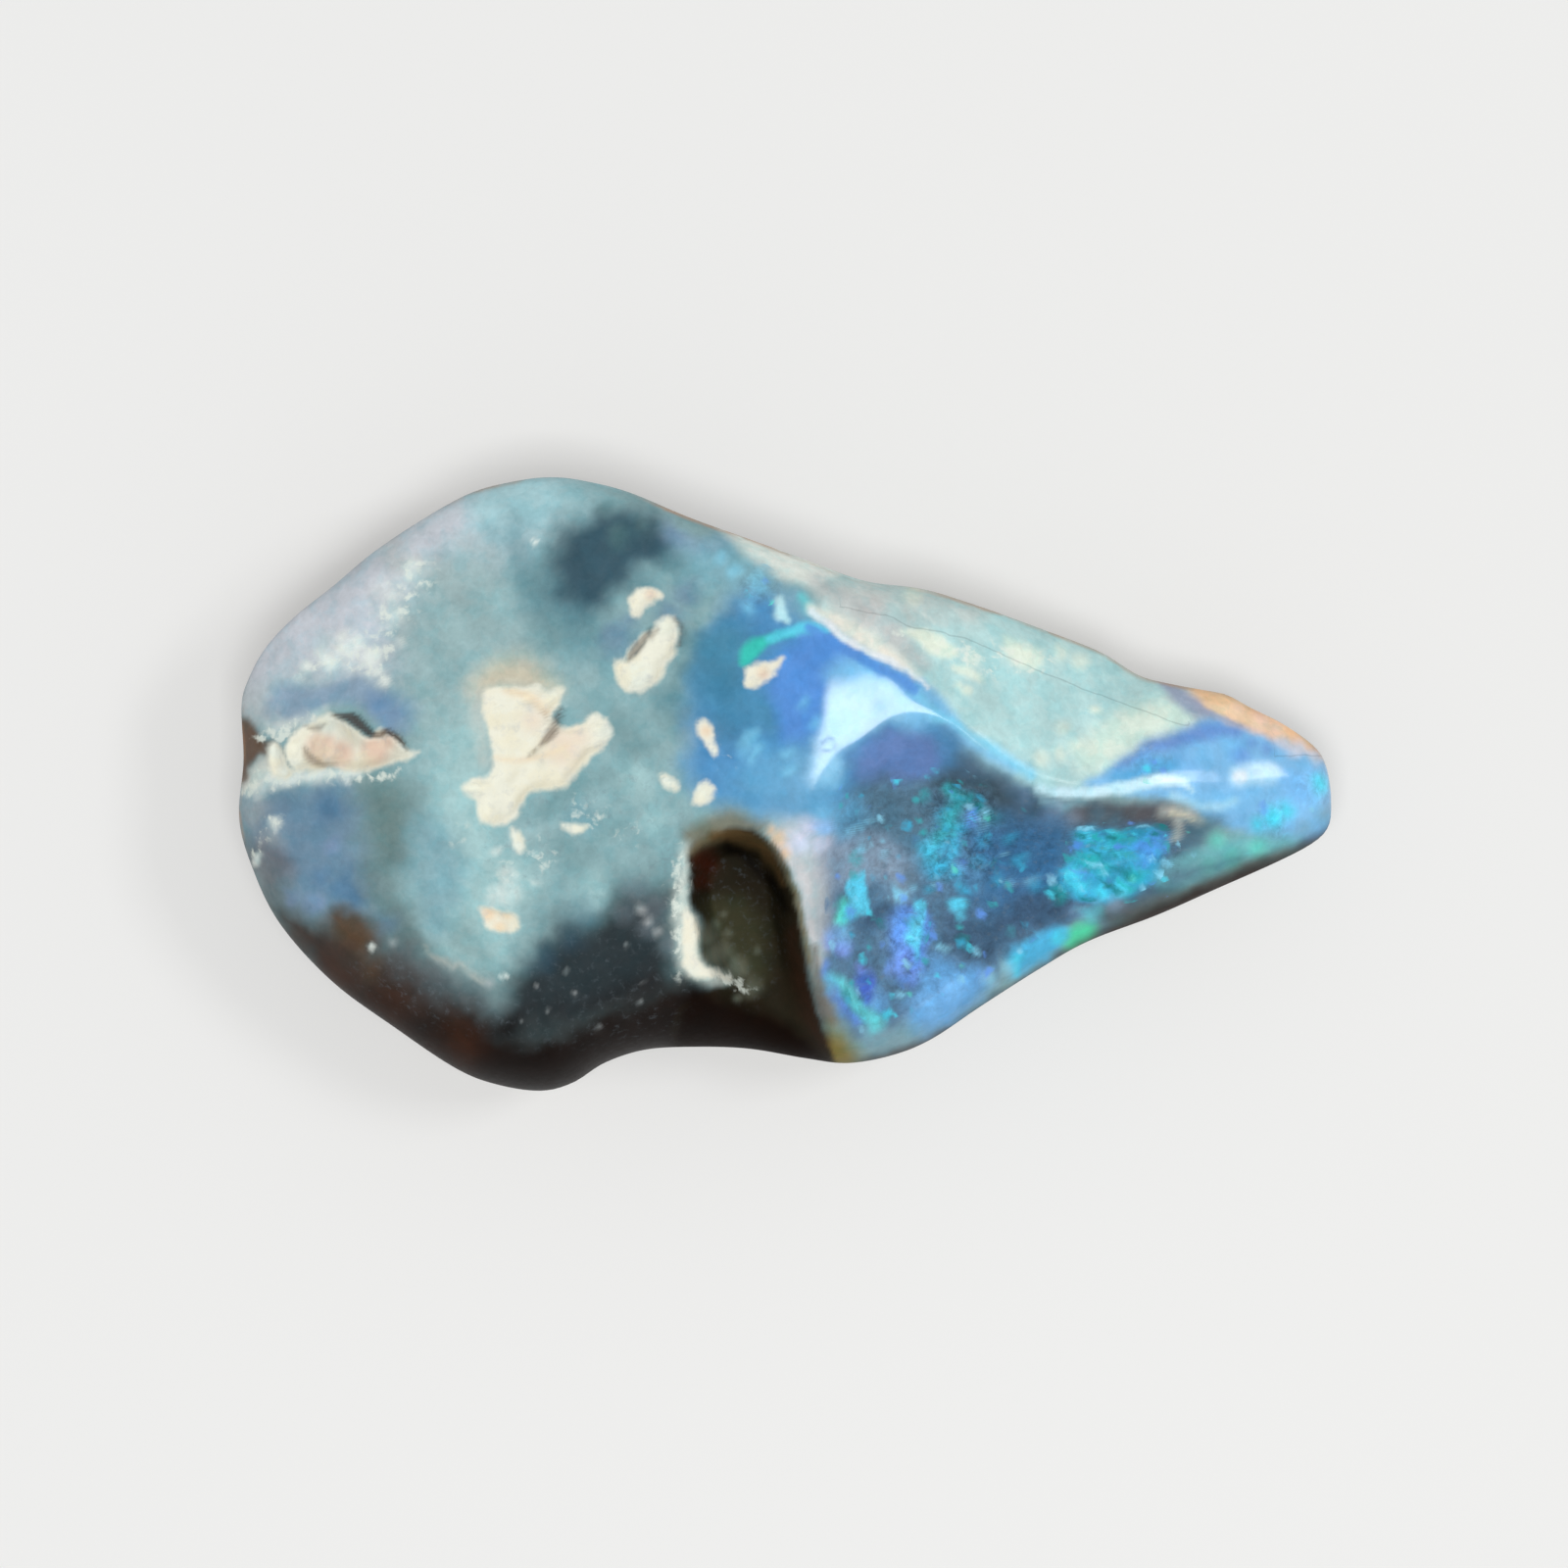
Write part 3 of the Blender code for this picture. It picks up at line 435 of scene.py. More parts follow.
    ("discs", "flash_green", 7, 0.9, ((1110, 876, 11), (1140, 847, 7), (1124, 890, 7), (1155, 893, 6))),
    ("area", "flash_blue", 7, 0.8, ((1155, 858), (1185, 850), (1187, 868), (1165, 878))),
    ("discs", "bright_cyan", 4, 0.9, ((1100, 893, 6), (1145, 906, 6), (1122, 908, 6), (1131, 860, 5),
        (1112, 849, 4), (1103, 905, 5), (1140, 872, 4))),
    ("streak", "shore_blue", 7, 0.8, ((838, 985, 4), (850, 1020, 5), (868, 1042, 5))),
    ("streak", "shore", 8, 0.9, ((848, 1000, 7), (862, 1012, 8), (878, 1030, 9), (890, 1046, 8))),
    ("discs", "bright_cyan", 5, 0.9, ((900, 1032, 6), (908, 1028, 4))),
    ("discs", "indigo", 8, 0.9, ((880, 997, 10), (884, 1008, 5))),
    ("discs", "violet", 5, 0.6, ((878, 984, 5), (1000, 1000, 8))),
    ("area", "shallow", 15, 0.9, ((945, 1000), (990, 990), (1015, 1005), (985, 1035), (940, 1060),
        (930, 1030))),
    ("discs", "azure", 10, 0.5, ((948, 1026, 12), (972, 1010, 10))),
    ("area", "rim_teal", 12, 0.7, ((880, 1056), (930, 1048), (960, 1050), (940, 1072), (890, 1085))),
    ("discs", "mint_aqua", 8, 0.6, ((1010, 1000, 8), (1030, 985, 8))),
)

# Finer paint that keeps closer to its drawn lines
FINE_PAINT = (
    ("streak", "peach_grey", 18, 0.9, ((492, 700, 10), (514, 688, 15), (540, 688, 15), (566, 700, 7))),
    ("streak", "cream_fade", 12, 0.55, ((486, 704, 8), (492, 740, 8), (498, 775, 6))),
    ("discs", "cloud_white", 5, 0.9, ((314, 680, 6), (336, 674, 8), (352, 661, 7), (352, 649, 4),
        (366, 655, 7), (381, 669, 10), (386, 684, 6), (394, 694, 5))),
    ("discs", "cloud_white", 6, 0.6, ((408, 628, 6), (402, 610, 5), (418, 588, 5), (423, 574, 5),
        (400, 640, 3), (330, 664, 4), (306, 690, 3), (412, 655, 4))),
    ("discs", "haze", 10, 0.45, ((650, 905, 14), (668, 925, 14), (640, 930, 10), (662, 945, 9),
        (684, 962, 9))),
    ("discs", "wisp", 6, 0.55, ((672, 948, 4), (655, 925, 4), (662, 938, 4), (500, 1000, 3),
        (404, 960, 3))),
    ("discs", "wisp", 3, 0.5, ((588, 1010, 1.5), (560, 1028, 1.5), (580, 990, 1.5), (548, 1006, 1),
        (652, 1020, 1.5), (640, 962, 1.5), (612, 1046, 1), (655, 1000, 1), (533, 1040, 1))),
    ("streak", "green_arc", 4, 0.95, ((758, 676, 4), (763, 665, 8), (775, 655, 6), (790, 648, 3),
        (810, 644, 2))),
    ("streak", "cyan_arc", 4, 0.9, ((782, 651, 2), (800, 645, 4), (825, 641, 6), (842, 645, 3))),
    ("streak", "snow_blue", 4, 0.9, ((795, 612, 4), (797, 625, 6), (802, 632, 3))),
    ("streak", "shore", 6, 0.8, ((815, 610, 4), (826, 624, 5))),
    ("area", "back_cream", 9, 0.95, ((735, 538), (790, 556), (850, 578), (872, 596), (838, 600), (800, 590),
        (765, 568))),
    ("area", "mint", 5, 1.0, ((838, 610), (846, 590), (880, 580), (920, 580), (960, 590), (1040, 615),
        (1110, 645), (1160, 685), (1205, 697), (1224, 722), (1235, 735), (1210, 743), (1160, 766),
        (1130, 783), (1108, 798), (1060, 802), (1025, 787), (996, 765), (972, 735), (948, 704), (920, 682),
        (890, 662), (860, 645), (840, 628))),
    ("area", "mint_grey", 12, 0.85, ((836, 600), (880, 596), (905, 635), (935, 670), (905, 664), (870, 640),
        (842, 622))),
    ("streak", "wisp", 11, 0.75, ((832, 592, 7), (860, 610, 8), (890, 628, 9), (915, 652, 8),
        (940, 680, 5))),
    ("area", "mint_grey", 14, 0.7, ((880, 594), (940, 598), (1000, 622), (985, 640), (930, 636),
        (895, 618))),
    ("discs", "mint_rose", 12, 0.6, ((890, 618, 12), (915, 640, 8), (880, 640, 8))),
    ("area", "mint_cream", 5, 0.9, ((918, 641), (945, 644), (968, 656), (976, 668), (955, 671),
        (935, 656))),
    ("area", "mint_cream", 7, 0.85, ((1023, 650), (1045, 656), (1060, 664), (1058, 678), (1040, 681),
        (1024, 666))),
    ("streak", "mint_cream", 4, 0.75, ((973, 681, 3), (985, 685, 5), (998, 693, 3))),
    ("discs", "mint_cream", 4, 0.75, ((983, 704, 5), (976, 700, 3), (1116, 722, 4))),
    ("area", "mint_cream", 14, 0.7, ((1105, 752), (1145, 722), (1198, 712), (1226, 728), (1190, 746),
        (1150, 766), (1120, 782), (1098, 780))),
    ("discs", "mint_cream", 7, 0.55, ((1085, 742, 6), (1096, 760, 8), (1060, 773, 8), (1080, 768, 7),
        (1080, 665, 8), (990, 672, 7), (930, 605, 10), (1100, 672, 8))),
    ("area", "mint_aqua", 12, 0.6, ((990, 758), (1030, 770), (1060, 792), (1040, 796), (1005, 778))),
    ("streak", "sky", 6, 0.7, ((935, 696, 3), (955, 716, 7), (970, 735, 7), (990, 758, 5), (1030, 783, 5))),
    ("streak", "sparkle", 5, 0.8, ((930, 705, 4), (946, 725, 7), (960, 733, 5), (972, 738, 4),
        (1048, 789, 6))),
    # A sky-blue halo painted round the window's highlight: painted glow of the reflection
    ("area", "sky_blue_and_painted_halo", 16, 0.85, ((842, 690), (862, 672), (890, 676), (925, 700), (950, 730), (925, 742),
        (905, 715), (870, 700))),
    ("streak", "ridge_cream", 7, 0.95, ((826, 622, 3), (850, 634, 7), (872, 646, 9), (892, 658, 8),
        (912, 672, 5), (932, 690, 3))),
    ("streak", "pure_blue", 3, 0.85, ((826, 642, 5), (846, 655, 6), (866, 666, 6), (890, 680, 6),
        (912, 692, 5), (930, 704, 4))),
    # A faint ring painted into the window's highlight: painted shade of a small dimple
    ("streak", "violet_blue", 3, 0.5, ((838, 756, 1.5), (846, 752, 1.5), (852, 759, 1.5), (847, 767, 1.5),
        (837, 765, 1.5))),
    # The white line along the ridge's crest: partly its own white, partly painted highlight
    ("streak", "white_and_painted_highlight", 3, 0.95, ((826, 626, 3), (840, 635, 3), (858, 651, 3), (882, 664, 3),
        (905, 674, 3), (925, 686, 2), (944, 702, 2))),
    ("area", "tip_blue", 6, 0.97, ((1103, 798), (1130, 784), (1160, 767), (1190, 754), (1215, 742),
        (1240, 728), (1295, 745), (1345, 768), (1365, 800), (1362, 845), (1330, 862), (1290, 855),
        (1240, 838), (1200, 818), (1140, 808))),
    ("streak", "tip_violet", 8, 0.85, ((1136, 782, 3), (1165, 766, 6), (1200, 753, 8), (1228, 746, 9),
        (1258, 745, 7))),
    ("discs", "tip_deep", 9, 0.6, ((1200, 772, 10), (1215, 782, 8), (1262, 766, 8), (1165, 772, 8))),
    ("area", "tip_teal", 9, 0.85, ((1130, 788), (1180, 774), (1202, 780), (1185, 795), (1140, 800))),
    ("discs", "sky", 9, 0.7, ((1228, 772, 10), (1250, 757, 6))),
    ("discs", "tip_violet", 8, 0.6, ((1264, 770, 8), (1275, 757, 6), (1292, 763, 6))),
    ("area", "slate_lilac", 6, 0.9, ((1180, 694), (1206, 700), (1238, 727), (1224, 734), (1200, 720))),
    ("area", "orange", 8, 0.97, ((1206, 692), (1240, 700), (1290, 717), (1335, 745), (1360, 772),
        (1318, 760), (1290, 748), (1262, 739), (1236, 727))),
    ("discs", "orange_rose", 9, 0.8, ((1285, 734, 10), (1262, 724, 6), (1300, 742, 6))),
    ("streak", "slate_lilac", 3, 0.7, ((1216, 714, 2), (1232, 728, 3), (1250, 735, 3), (1264, 740, 2))),
    ("streak", "peach", 5, 0.75, ((1232, 718, 3), (1250, 724, 5), (1272, 732, 5), (1284, 738, 3))),
    ("discs", "lilac_grey", 8, 0.9, ((1322, 762, 9), (1340, 770, 8), (1308, 757, 6))),
    ("discs", "sky", 6, 0.6, ((1304, 770, 6), (1330, 778, 7))),
    # A painted highlight on the tip, brightest at its left end, laid over the lamp's own reflection
    ("area", "painted_highlight", 6, 0.5, ((1258, 780), (1280, 777), (1300, 780), (1305, 790), (1300, 800),
        (1280, 803), (1258, 799), (1252, 789))),
    ("discs", "white_and_painted_highlight", 3, 0.7, ((1262, 790, 6), (1266, 792, 5))),
    ("discs", "azure", 8, 0.8, ((1322, 800, 12), (1336, 790, 6))),
    ("area", "sky", 9, 0.8, ((1206, 802), (1260, 806), (1300, 800), (1312, 812), (1270, 826), (1230, 826))),
    ("discs", "bright_cyan", 9, 0.9, ((1345, 798, 9), (1298, 832, 11), (1312, 825, 8), (1282, 840, 6))),
    ("discs", "azure", 10, 0.8, ((1325, 808, 13), (1312, 795, 8))),
    ("discs", "rim_teal", 10, 0.6, ((1350, 830, 10), (1330, 845, 8))),
    ("area", "band_slate", 14, 0.85, ((1190, 836), (1222, 832), (1246, 834), (1240, 846), (1212, 870),
        (1194, 868))),
    ("area", "band_grey", 9, 0.95, ((1095, 822), (1150, 816), (1190, 820), (1206, 828), (1190, 842),
        (1140, 838), (1100, 838))),
    ("discs", "band_slate", 8, 0.8, ((1118, 830, 9), (1135, 833, 7))),
    ("discs", "scoop_mauve", 8, 0.5, ((1078, 824, 8), (1094, 833, 7))),
    ("streak", "snow_blue", 6, 0.5, ((1195, 812, 4), (1215, 818, 4), (1240, 821, 4), (1258, 817, 3))),
    ("streak", "band_stone", 8, 0.9, ((1184, 828, 4), (1202, 827, 7), (1214, 831, 6), (1221, 835, 3))),
    ("streak", "band_stone", 4, 0.85, ((1200, 838, 4), (1201, 848, 4), (1198, 855, 3))),
    ("streak", "butter", 3, 0.6, ((1194, 829, 2), (1206, 831, 2), (1216, 836, 1.5))),
    ("area", "shelf_teal", 9, 0.92, ((1184, 884), (1230, 862), (1290, 848), (1330, 858), (1290, 874),
        (1240, 892), (1200, 908), (1180, 905))),
    ("discs", "shelf_green", 8, 0.9, ((1256, 876, 10), (1282, 866, 9), (1240, 856, 8), (1232, 882, 7))),
    ("area", "scoop_dark", 8, 0.6, ((1130, 920), (1180, 900), (1200, 905), (1160, 930), (1130, 940))),
    ("discs", "mauve_grey", 8, 0.8, ((1130, 932, 9), (1145, 926, 7))),
    ("discs", "band_slate", 8, 0.7, ((1124, 948, 9),)),
    ("streak", "ink_blue", 6, 0.75, ((880, 1088, 3), (930, 1072, 4), (980, 1042, 4), (1040, 1002, 4),
        (1082, 974, 4))),
    ("discs", "deep_blue", 10, 0.8, ((1070, 896, 12),)),
    ("discs", "scoop_mauve", 9, 0.6, ((1137, 921, 8),)),
    ("streak", "band_slate", 12, 0.85, ((1196, 892, 12), (1230, 884, 6), (1262, 876, 4))),
    ("streak", "brown", 9, 0.6, ((1150, 938, 7), (1185, 921, 8), (1245, 896, 7), (1305, 871, 5),
        (1340, 855, 4))),
    ("streak", "wedge_brown", 9, 0.97, ((1085, 974, 2), (1120, 957, 7), (1185, 932, 12), (1245, 906, 11),
        (1305, 880, 9), (1345, 860, 6), (1364, 840, 3))),
    ("streak", "rim_brown", 6, 0.7, ((872, 1084, 3), (900, 1078, 5), (925, 1071, 5), (950, 1059, 4),
        (965, 1051, 3))),
    # Painted highlight along the ridge's crest towards the tip, laid over the lamp's own reflection
    ("streak", "ridge_painted_highlight", 4, 0.9, ((1058, 803, 4), (1078, 806, 5), (1100, 807, 6), (1130, 805, 6),
        (1160, 800, 6), (1190, 796, 6), (1205, 797, 4), (1212, 804, 2))),
    ("streak", "painted_highlight", 3, 0.75, ((1076, 806, 3), (1100, 807, 4), (1130, 805, 5), (1160, 800, 5),
        (1190, 796, 4), (1206, 798, 4))),
    # The pale grey band down the crest between the pit and the scoop: partly its own colour, partly painted
    # sheen where the crest catches the light
    ("streak", "crest", 14, 0.8, ((808, 850, 14), (826, 875, 12), (834, 905, 8), (836, 940, 6),
        (838, 965, 4))),
    ("streak", "crest", 5, 0.95, ((795, 858, 8), (812, 880, 8), (820, 905, 7), (824, 935, 6), (828, 960, 5),
        (832, 980, 4))),
    ("streak", "crest_low", 5, 0.9, ((828, 965, 4), (832, 990, 4), (838, 1015, 5), (848, 1040, 5))),
    ("discs", "cyan", 5, 0.8, ((868, 928, 8), (878, 908, 5))),
    ("discs", "sky_blue_and_painted_halo", 9, 0.5, ((858, 952, 12), (838, 830, 9))),
    ("discs", "bright_cyan", 9, 0.35, ((954, 866, 14),)),
    ("streak", "crest_low", 4, 0.8, ((820, 965, 3), (826, 990, 3), (833, 1015, 3), (842, 1040, 3))),
    ("discs", "crest_peach", 6, 0.9, ((793, 854, 8), (800, 868, 6), (786, 846, 4))),
    ("discs", "crest_lilac", 10, 0.9, ((815, 856, 11), (835, 858, 9), (824, 842, 9))),
    ("discs", "crest_blue", 5, 0.8, ((841, 842, 7), (832, 840, 4))),
    ("area", "orange_brown", 8, 0.8, ((838, 1058), (858, 1062), (872, 1080), (866, 1095), (846, 1092))),
    ("area", "olive", 10, 0.6, ((842, 1045), (862, 1052), (880, 1075), (870, 1095), (846, 1090))),
    ("streak", "halo", 9, 0.8, ((704, 850, 8), (740, 838, 11), (775, 842, 6))),
    ("streak", "chalk", 10, 0.8, ((700, 866, 4), (696, 890, 5), (695, 920, 6), (700, 950, 9), (704, 980, 9),
        (722, 994, 5), (745, 1004, 3))),
    ("streak", "cream", 5, 0.9, ((698, 925, 3), (706, 945, 6), (706, 970, 7), (714, 987, 5))),
    ("area", "pit", 4, 1.0, ((701, 874), (706, 859), (725, 849), (750, 843), (772, 845), (785, 862),
        (797, 882), (807, 900), (813, 930), (818, 960), (822, 990), (830, 1020), (842, 1060), (850, 1095),
        (780, 1100), (700, 1090), (690, 1030), (745, 998), (722, 980), (714, 965), (717, 942), (704, 920),
        (702, 895))),
    ("streak", "halo", 3, 0.9, ((786, 862, 2), (800, 884, 3), (811, 915, 3), (818, 950, 3), (823, 980, 2))),
    ("streak", "halo", 7, 0.8, ((704, 866, 4), (714, 856, 6), (732, 850, 6))),
    ("streak", "pit_rim", 5, 0.9, ((726, 852, 5), (750, 852, 7), (774, 860, 7), (788, 880, 5),
        (798, 900, 3))),
    ("discs", "pit_red", 12, 0.85, ((718, 878, 11), (714, 895, 6))),
    ("area", "pit_olive", 14, 0.9, ((720, 920), (760, 915), (782, 950), (778, 1000), (745, 990),
        (722, 965))),
    ("discs", "smear", 12, 0.8, ((730, 972, 12), (748, 988, 11), (764, 1004, 7), (721, 954, 9))),
    ("discs", "smear", 5, 0.6, ((742, 950, 3), (730, 940, 3), (772, 968, 3), (750, 1016, 4),
        (738, 930, 2))),
    ("streak", "pit_black", 6, 0.9, ((742, 864, 5), (760, 872, 6), (774, 888, 5), (790, 905, 4),
        (800, 925, 4))),
    ("streak", "pit_wall", 7, 0.85, ((806, 950, 6), (812, 985, 7), (824, 1025, 8), (838, 1060, 6))),
    ("discs", "bitter", 14, 0.7, ((640, 1068, 12), (520, 1046, 14))),
    ("area", "bitter", 12, 0.95, ((700, 1010), (745, 1020), (800, 1040), (845, 1085), (800, 1100),
        (690, 1090))),
)

# The host rock's own tints, laid over plain cream in the same way
ROCK_PAINT = (
    ("discs", "pink_cream", 8, 0.95, ((330, 762, 16), (350, 768, 13), (385, 765, 14), (396, 757, 9))),
    ("discs", "chalk", 7, 0.8, ((335, 738, 10), (296, 785, 12), (280, 770, 10), (262, 800, 14),
        (425, 770, 8))),
    ("discs", "pink_cream", 12, 0.55, ((575, 762, 18), (545, 735, 9), (590, 752, 10))),
    ("discs", "chalk", 8, 0.7, ((565, 706, 7), (620, 745, 8), (480, 806, 8), (650, 690, 14),
        (680, 640, 8))),
    ("discs", "pink_cream", 5, 0.8, ((778, 687, 6), (664, 606, 5))),
    ("discs", "chalk", 5, 0.8, ((727, 768, 5), (682, 797, 9), (716, 806, 10), (530, 857, 10),
        (588, 843, 12))),
    ("discs", "peach", 6, 0.9, ((500, 930, 7), (512, 944, 6), (518, 930, 5), (720, 745, 5))),
    ("discs", "chalk", 6, 0.7, ((692, 880, 12), (697, 905, 8), (704, 992, 9))),
    ("streak", "peach", 5, 0.8, ((520, 704, 3), (545, 712, 3), (560, 726, 3))),
    ("streak", "peach", 4, 0.7, ((505, 772, 1), (530, 775, 2), (556, 770, 2), (580, 760, 1))),
    ("streak", "tan", 4, 0.35, ((536, 716, 1), (552, 722, 2), (562, 735, 1))),
    ("streak", "tan", 6, 0.3, ((578, 790, 2), (590, 778, 2), (600, 764, 1))),
)

# The studio's glow by the upward part of a direction, from the horizon at 0 to the zenith at 1
SKY = ((0.0, 0.6), (0.5, 0.52), (0.9, 0.34), (1.0, 0.2))
# Name, place in metres, size and power of each soft lamp
LAMPS = (
    ("window", (0.0, -0.07, 0.5), (0.18, 0.14), 1.35),
    ("east", (0.33, 0.1, 0.45), (0.15, 0.12), 0.7),
)

# How polished the surface is, from 0 for satin to 1, laid over the plain polish
POLISH = (
    ("area", 30, 0.14, ((700, 620), (800, 560), (1000, 590), (1300, 700), (1400, 800), (1350, 900),
        (1000, 1080), (850, 1090), (840, 1000), (810, 830), (700, 820))),
    ("area", 16, 0.05, ((850, 830), (900, 790), (980, 790), (1080, 820), (1200, 830), (1230, 850),
        (1300, 860), (1320, 880), (1000, 1060), (860, 1090), (830, 960))),
    ("area", 14, 0.0, ((770, 640), (830, 640), (846, 700), (832, 740), (780, 740), (720, 740), (720, 700))),
    ("area", 8, 0.0, ((838, 650), (880, 655), (912, 690), (880, 692), (846, 694), (830, 700))),
    ("area", 8, 1.0, ((842, 708), (862, 694), (900, 694), (930, 712), (990, 745), (1060, 792), (1200, 785),
        (1350, 770), (1350, 830), (1200, 818), (1060, 815), (980, 775), (920, 748), (880, 758), (850, 800),
        (828, 800))),
    ("area", 10, 0.25, ((965, 728), (1010, 750), (1062, 786), (1040, 800), (980, 768))),
    ("discs", 8, 0.3, ((1228, 793, 9), (1242, 792, 9))),
    ("streak", 2, 0.3, ((838, 756, 1.5), (846, 753, 1.5), (851, 759, 1.5), (847, 766, 1.5),
        (838, 765, 1.5))),
    ("area", 10, 0.0, ((690, 880), (720, 840), (770, 838), (800, 880), (818, 950), (850, 1095), (690, 1100),
        (700, 1000))),
)
PLAIN_POLISH = 0.12

# Where the play of colour shows, and where its plume stands
FLASHES = (
    ("area", 20, 0.42, ((855, 820), (880, 800), (960, 790), (1060, 835), (1190, 838), (1200, 890),
        (1100, 930), (1000, 1000), (900, 1050), (850, 1020), (845, 930))),
    ("area", 12, 0.9, ((950, 805), (1010, 805), (1010, 870), (985, 900), (945, 890))),
    ("discs", 12, 0.8, ((925, 950, 26), (930, 980, 16))),
    ("discs", 14, 0.4, ((775, 600, 22), (1340, 800, 20), (1300, 832, 20), (1170, 780, 20))),
)
PLUME = (
    ("area", 7, 1.0, ((1092, 848), (1112, 842), (1188, 843), (1186, 890), (1150, 914), (1088, 914),
        (1084, 890))),
)
# Where the body is clouded with fine white grains
FROTH = (
    ("area", 22, 0.4, ((300, 690), (330, 660), (375, 640), (400, 672), (398, 700), (360, 690), (320, 690))),
    ("area", 22, 0.4, ((380, 640), (395, 590), (430, 565), (450, 590), (420, 640), (400, 670))),
    ("streak", 12, 0.55, ((250, 806, 6), (275, 794, 12), (320, 790, 8), (390, 790, 6), (420, 780, 3))),
    ("streak", 10, 0.6, ((262, 752, 6), (290, 746, 8), (320, 730, 4))),
    ("discs", 12, 0.5, ((262, 870, 10), (282, 838, 10), (270, 850, 8))),
    ("area", 12, 0.4, ((684, 870), (700, 860), (704, 940), (694, 1000), (682, 960), (678, 900))),
    ("streak", 10, 0.7, ((722, 990, 4), (745, 1000, 6), (765, 1006, 4))),
    ("discs", 14, 0.28, ((520, 885, 16), (600, 830, 26), (470, 850, 16), (740, 770, 14), (555, 870, 22),
        (640, 850, 18))),
    ("area", 20, 0.4, ((900, 640), (980, 650), (1080, 660), (1060, 690), (980, 690))),
    ("area", 24, 0.2, ((1100, 760), (1150, 715), (1220, 715), (1200, 750), (1130, 790))),
)
# Where fine pale dust lies in the opal
DUST = (
    ("area", 24, 0.9, ((590, 930), (640, 895), (690, 860), (700, 985), (660, 1000), (620, 960))),
    ("area", 24, 0.25, ((520, 960), (600, 925), (690, 900), (690, 1040), (600, 1060), (520, 1050))),
    ("area", 30, 0.4, ((860, 830), (1000, 780), (1180, 830), (1100, 930), (900, 1040), (840, 960))),
    ("area", 30, 0.5, ((490, 840), (560, 800), (660, 760), (700, 840), (600, 880), (520, 910))),
    ("area", 16, 0.3, ((712, 890), (770, 880), (800, 960), (770, 1020), (720, 980))),
    ("area", 20, 0.4, ((400, 970), (470, 990), (520, 1040), (440, 1040), (360, 990))),
)
# Where the rim's thin skin shows, from 0 to 1
RIM_SKIN = (
    ("streak", 34, 1.0, ((680, 522, 14), (745, 545, 14), (790, 561, 14), (850, 588, 14))),
    ("streak", 34, 0.9, ((950, 604, 14), (1000, 622, 14), (1100, 655, 14), (1200, 697, 14))),
    ("streak", 14, 0.8, ((240, 700, 14), (236, 780, 14), (246, 860, 12))),
    ("streak", 14, 0.6, ((1250, 705, 10), (1330, 745, 10), (1362, 790, 8))),
    ("streak", 14, 0.8, ((290, 610, 10), (380, 535, 10), (450, 500, 10), (520, 486, 10))),
)
# The areas by the names that the material reads them by
MASKS = {"flash": FLASHES, "plume": PLUME, "froth": FROTH, "dust": DUST, "skin": RIM_SKIN}

# The mask that holds the flecks, their cells to a millimetre, stretch along the bearing, bearing, share
# present, shape of the fleck, strength, and tints
FLECKS = (
    ("flash", 1.5, 1.2, 2.0, 0.95, "blob", 0.6, ((0.0, "flash"), (0.18, "deep_blue"), (0.4, "turquoise"),
        (0.55, "column_blue"), (0.75, "scoop_teal"), (0.9, "dark_turquoise"))),
    ("flash", 2.7, 1.3, 2.3, 0.95, "blob", 0.8, ((0.0, "flash"), (0.25, "ice"), (0.45, "bright_cyan"),
        (0.62, "column_blue"), (0.8, "turquoise"), (0.93, "sea_green"))),
    ("plume", 3.0, 2.8, -0.7, 0.97, "stroke", 0.95, ((0.0, "bright_cyan"), (0.18, "dark_turquoise"),
        (0.36, "flash_blue"), (0.5, "sparkle"), (0.64, "flash_green"), (0.8, "turquoise"))),
)
# How the mottling dims a fleck: where that starts and ends, and the least share of the fleck's strength
FLECK_SHINE = (0.3, 0.6)
FLECK_LEAST = 0.4
# How strongly light and dark vary in the lively places
LIVELY = 3.5

# How far noise moves the material about: its cells to a millimetre, and the reach in millimetres
WARPS = ((2.6, 0.28), (9.0, 0.1))
# Each texture's cells to a millimetre, detail and roughness. The floor's cells are counted to a metre.
TEXTURES = {
    "warp": (1.0, 2.0, 0.5), "cloud": (0.9, 6.0, 0.62), "mottle": (4.5, 5.0, 0.6), "lively": (3.2, 6.0, 0.68),
    "drift": (1.6, 5.0, 0.6), "lump": (3.4, 3.0, 0.5), "dust": (5.0, 3.0, 0.6), "ragged": (3.2, 2.0, 0.5),
    "chalk": (5.0, 4.0, 0.6), "patchy": (0.8, 3.0, 0.6), "floor": (8.0, 2.0, 0.55),
}
# How each measure is spread: where it starts and ends, then the values there if they aren't 0 and 1, and
# True if the way between them is straight
SPREADS = {
    "cloud_shade": (0.3, 0.7, 0.83, 1.09, True), "mottle_shade": (0.3, 0.7, 0.94, 1.06, True),
    "drift": (0.4, 0.65, 0.0, 0.7), "blob": (0.0, 1.0, 0.3, 0.6, True), "fleck": (0.0, 0.4),
    "froth_lump": (0.25, 0.75, -0.6, 0.6, True), "froth": (0.3, 0.85), "froth_place": (0.05, 0.4),
    "dust": (0.52, 0.8), "crack": (0.035, 0.008), "rock": (-0.12, 0.12), "rock_butter": (0.4, 0.65, 0.0, 0.5),
    "rock_wisp": (0.5, 0.8, 0.0, 0.45), "skin": (0.16, 0.02), "skin_below": (-0.3, -0.05),
    "patchy": (0.38, 0.62), "polish_rough": (0.0, 1.0, 0.6, 0.35, True),
    "mottle_rough": (0.3, 0.7, -0.05, 0.05, True), "floor": (0.3, 0.7),
}
# How much of its colour each layer of the material lends
COVERS = {"froth": 0.75, "dust": 0.7, "crack": 0.24, "rock": 0.95, "skin": 0.85}
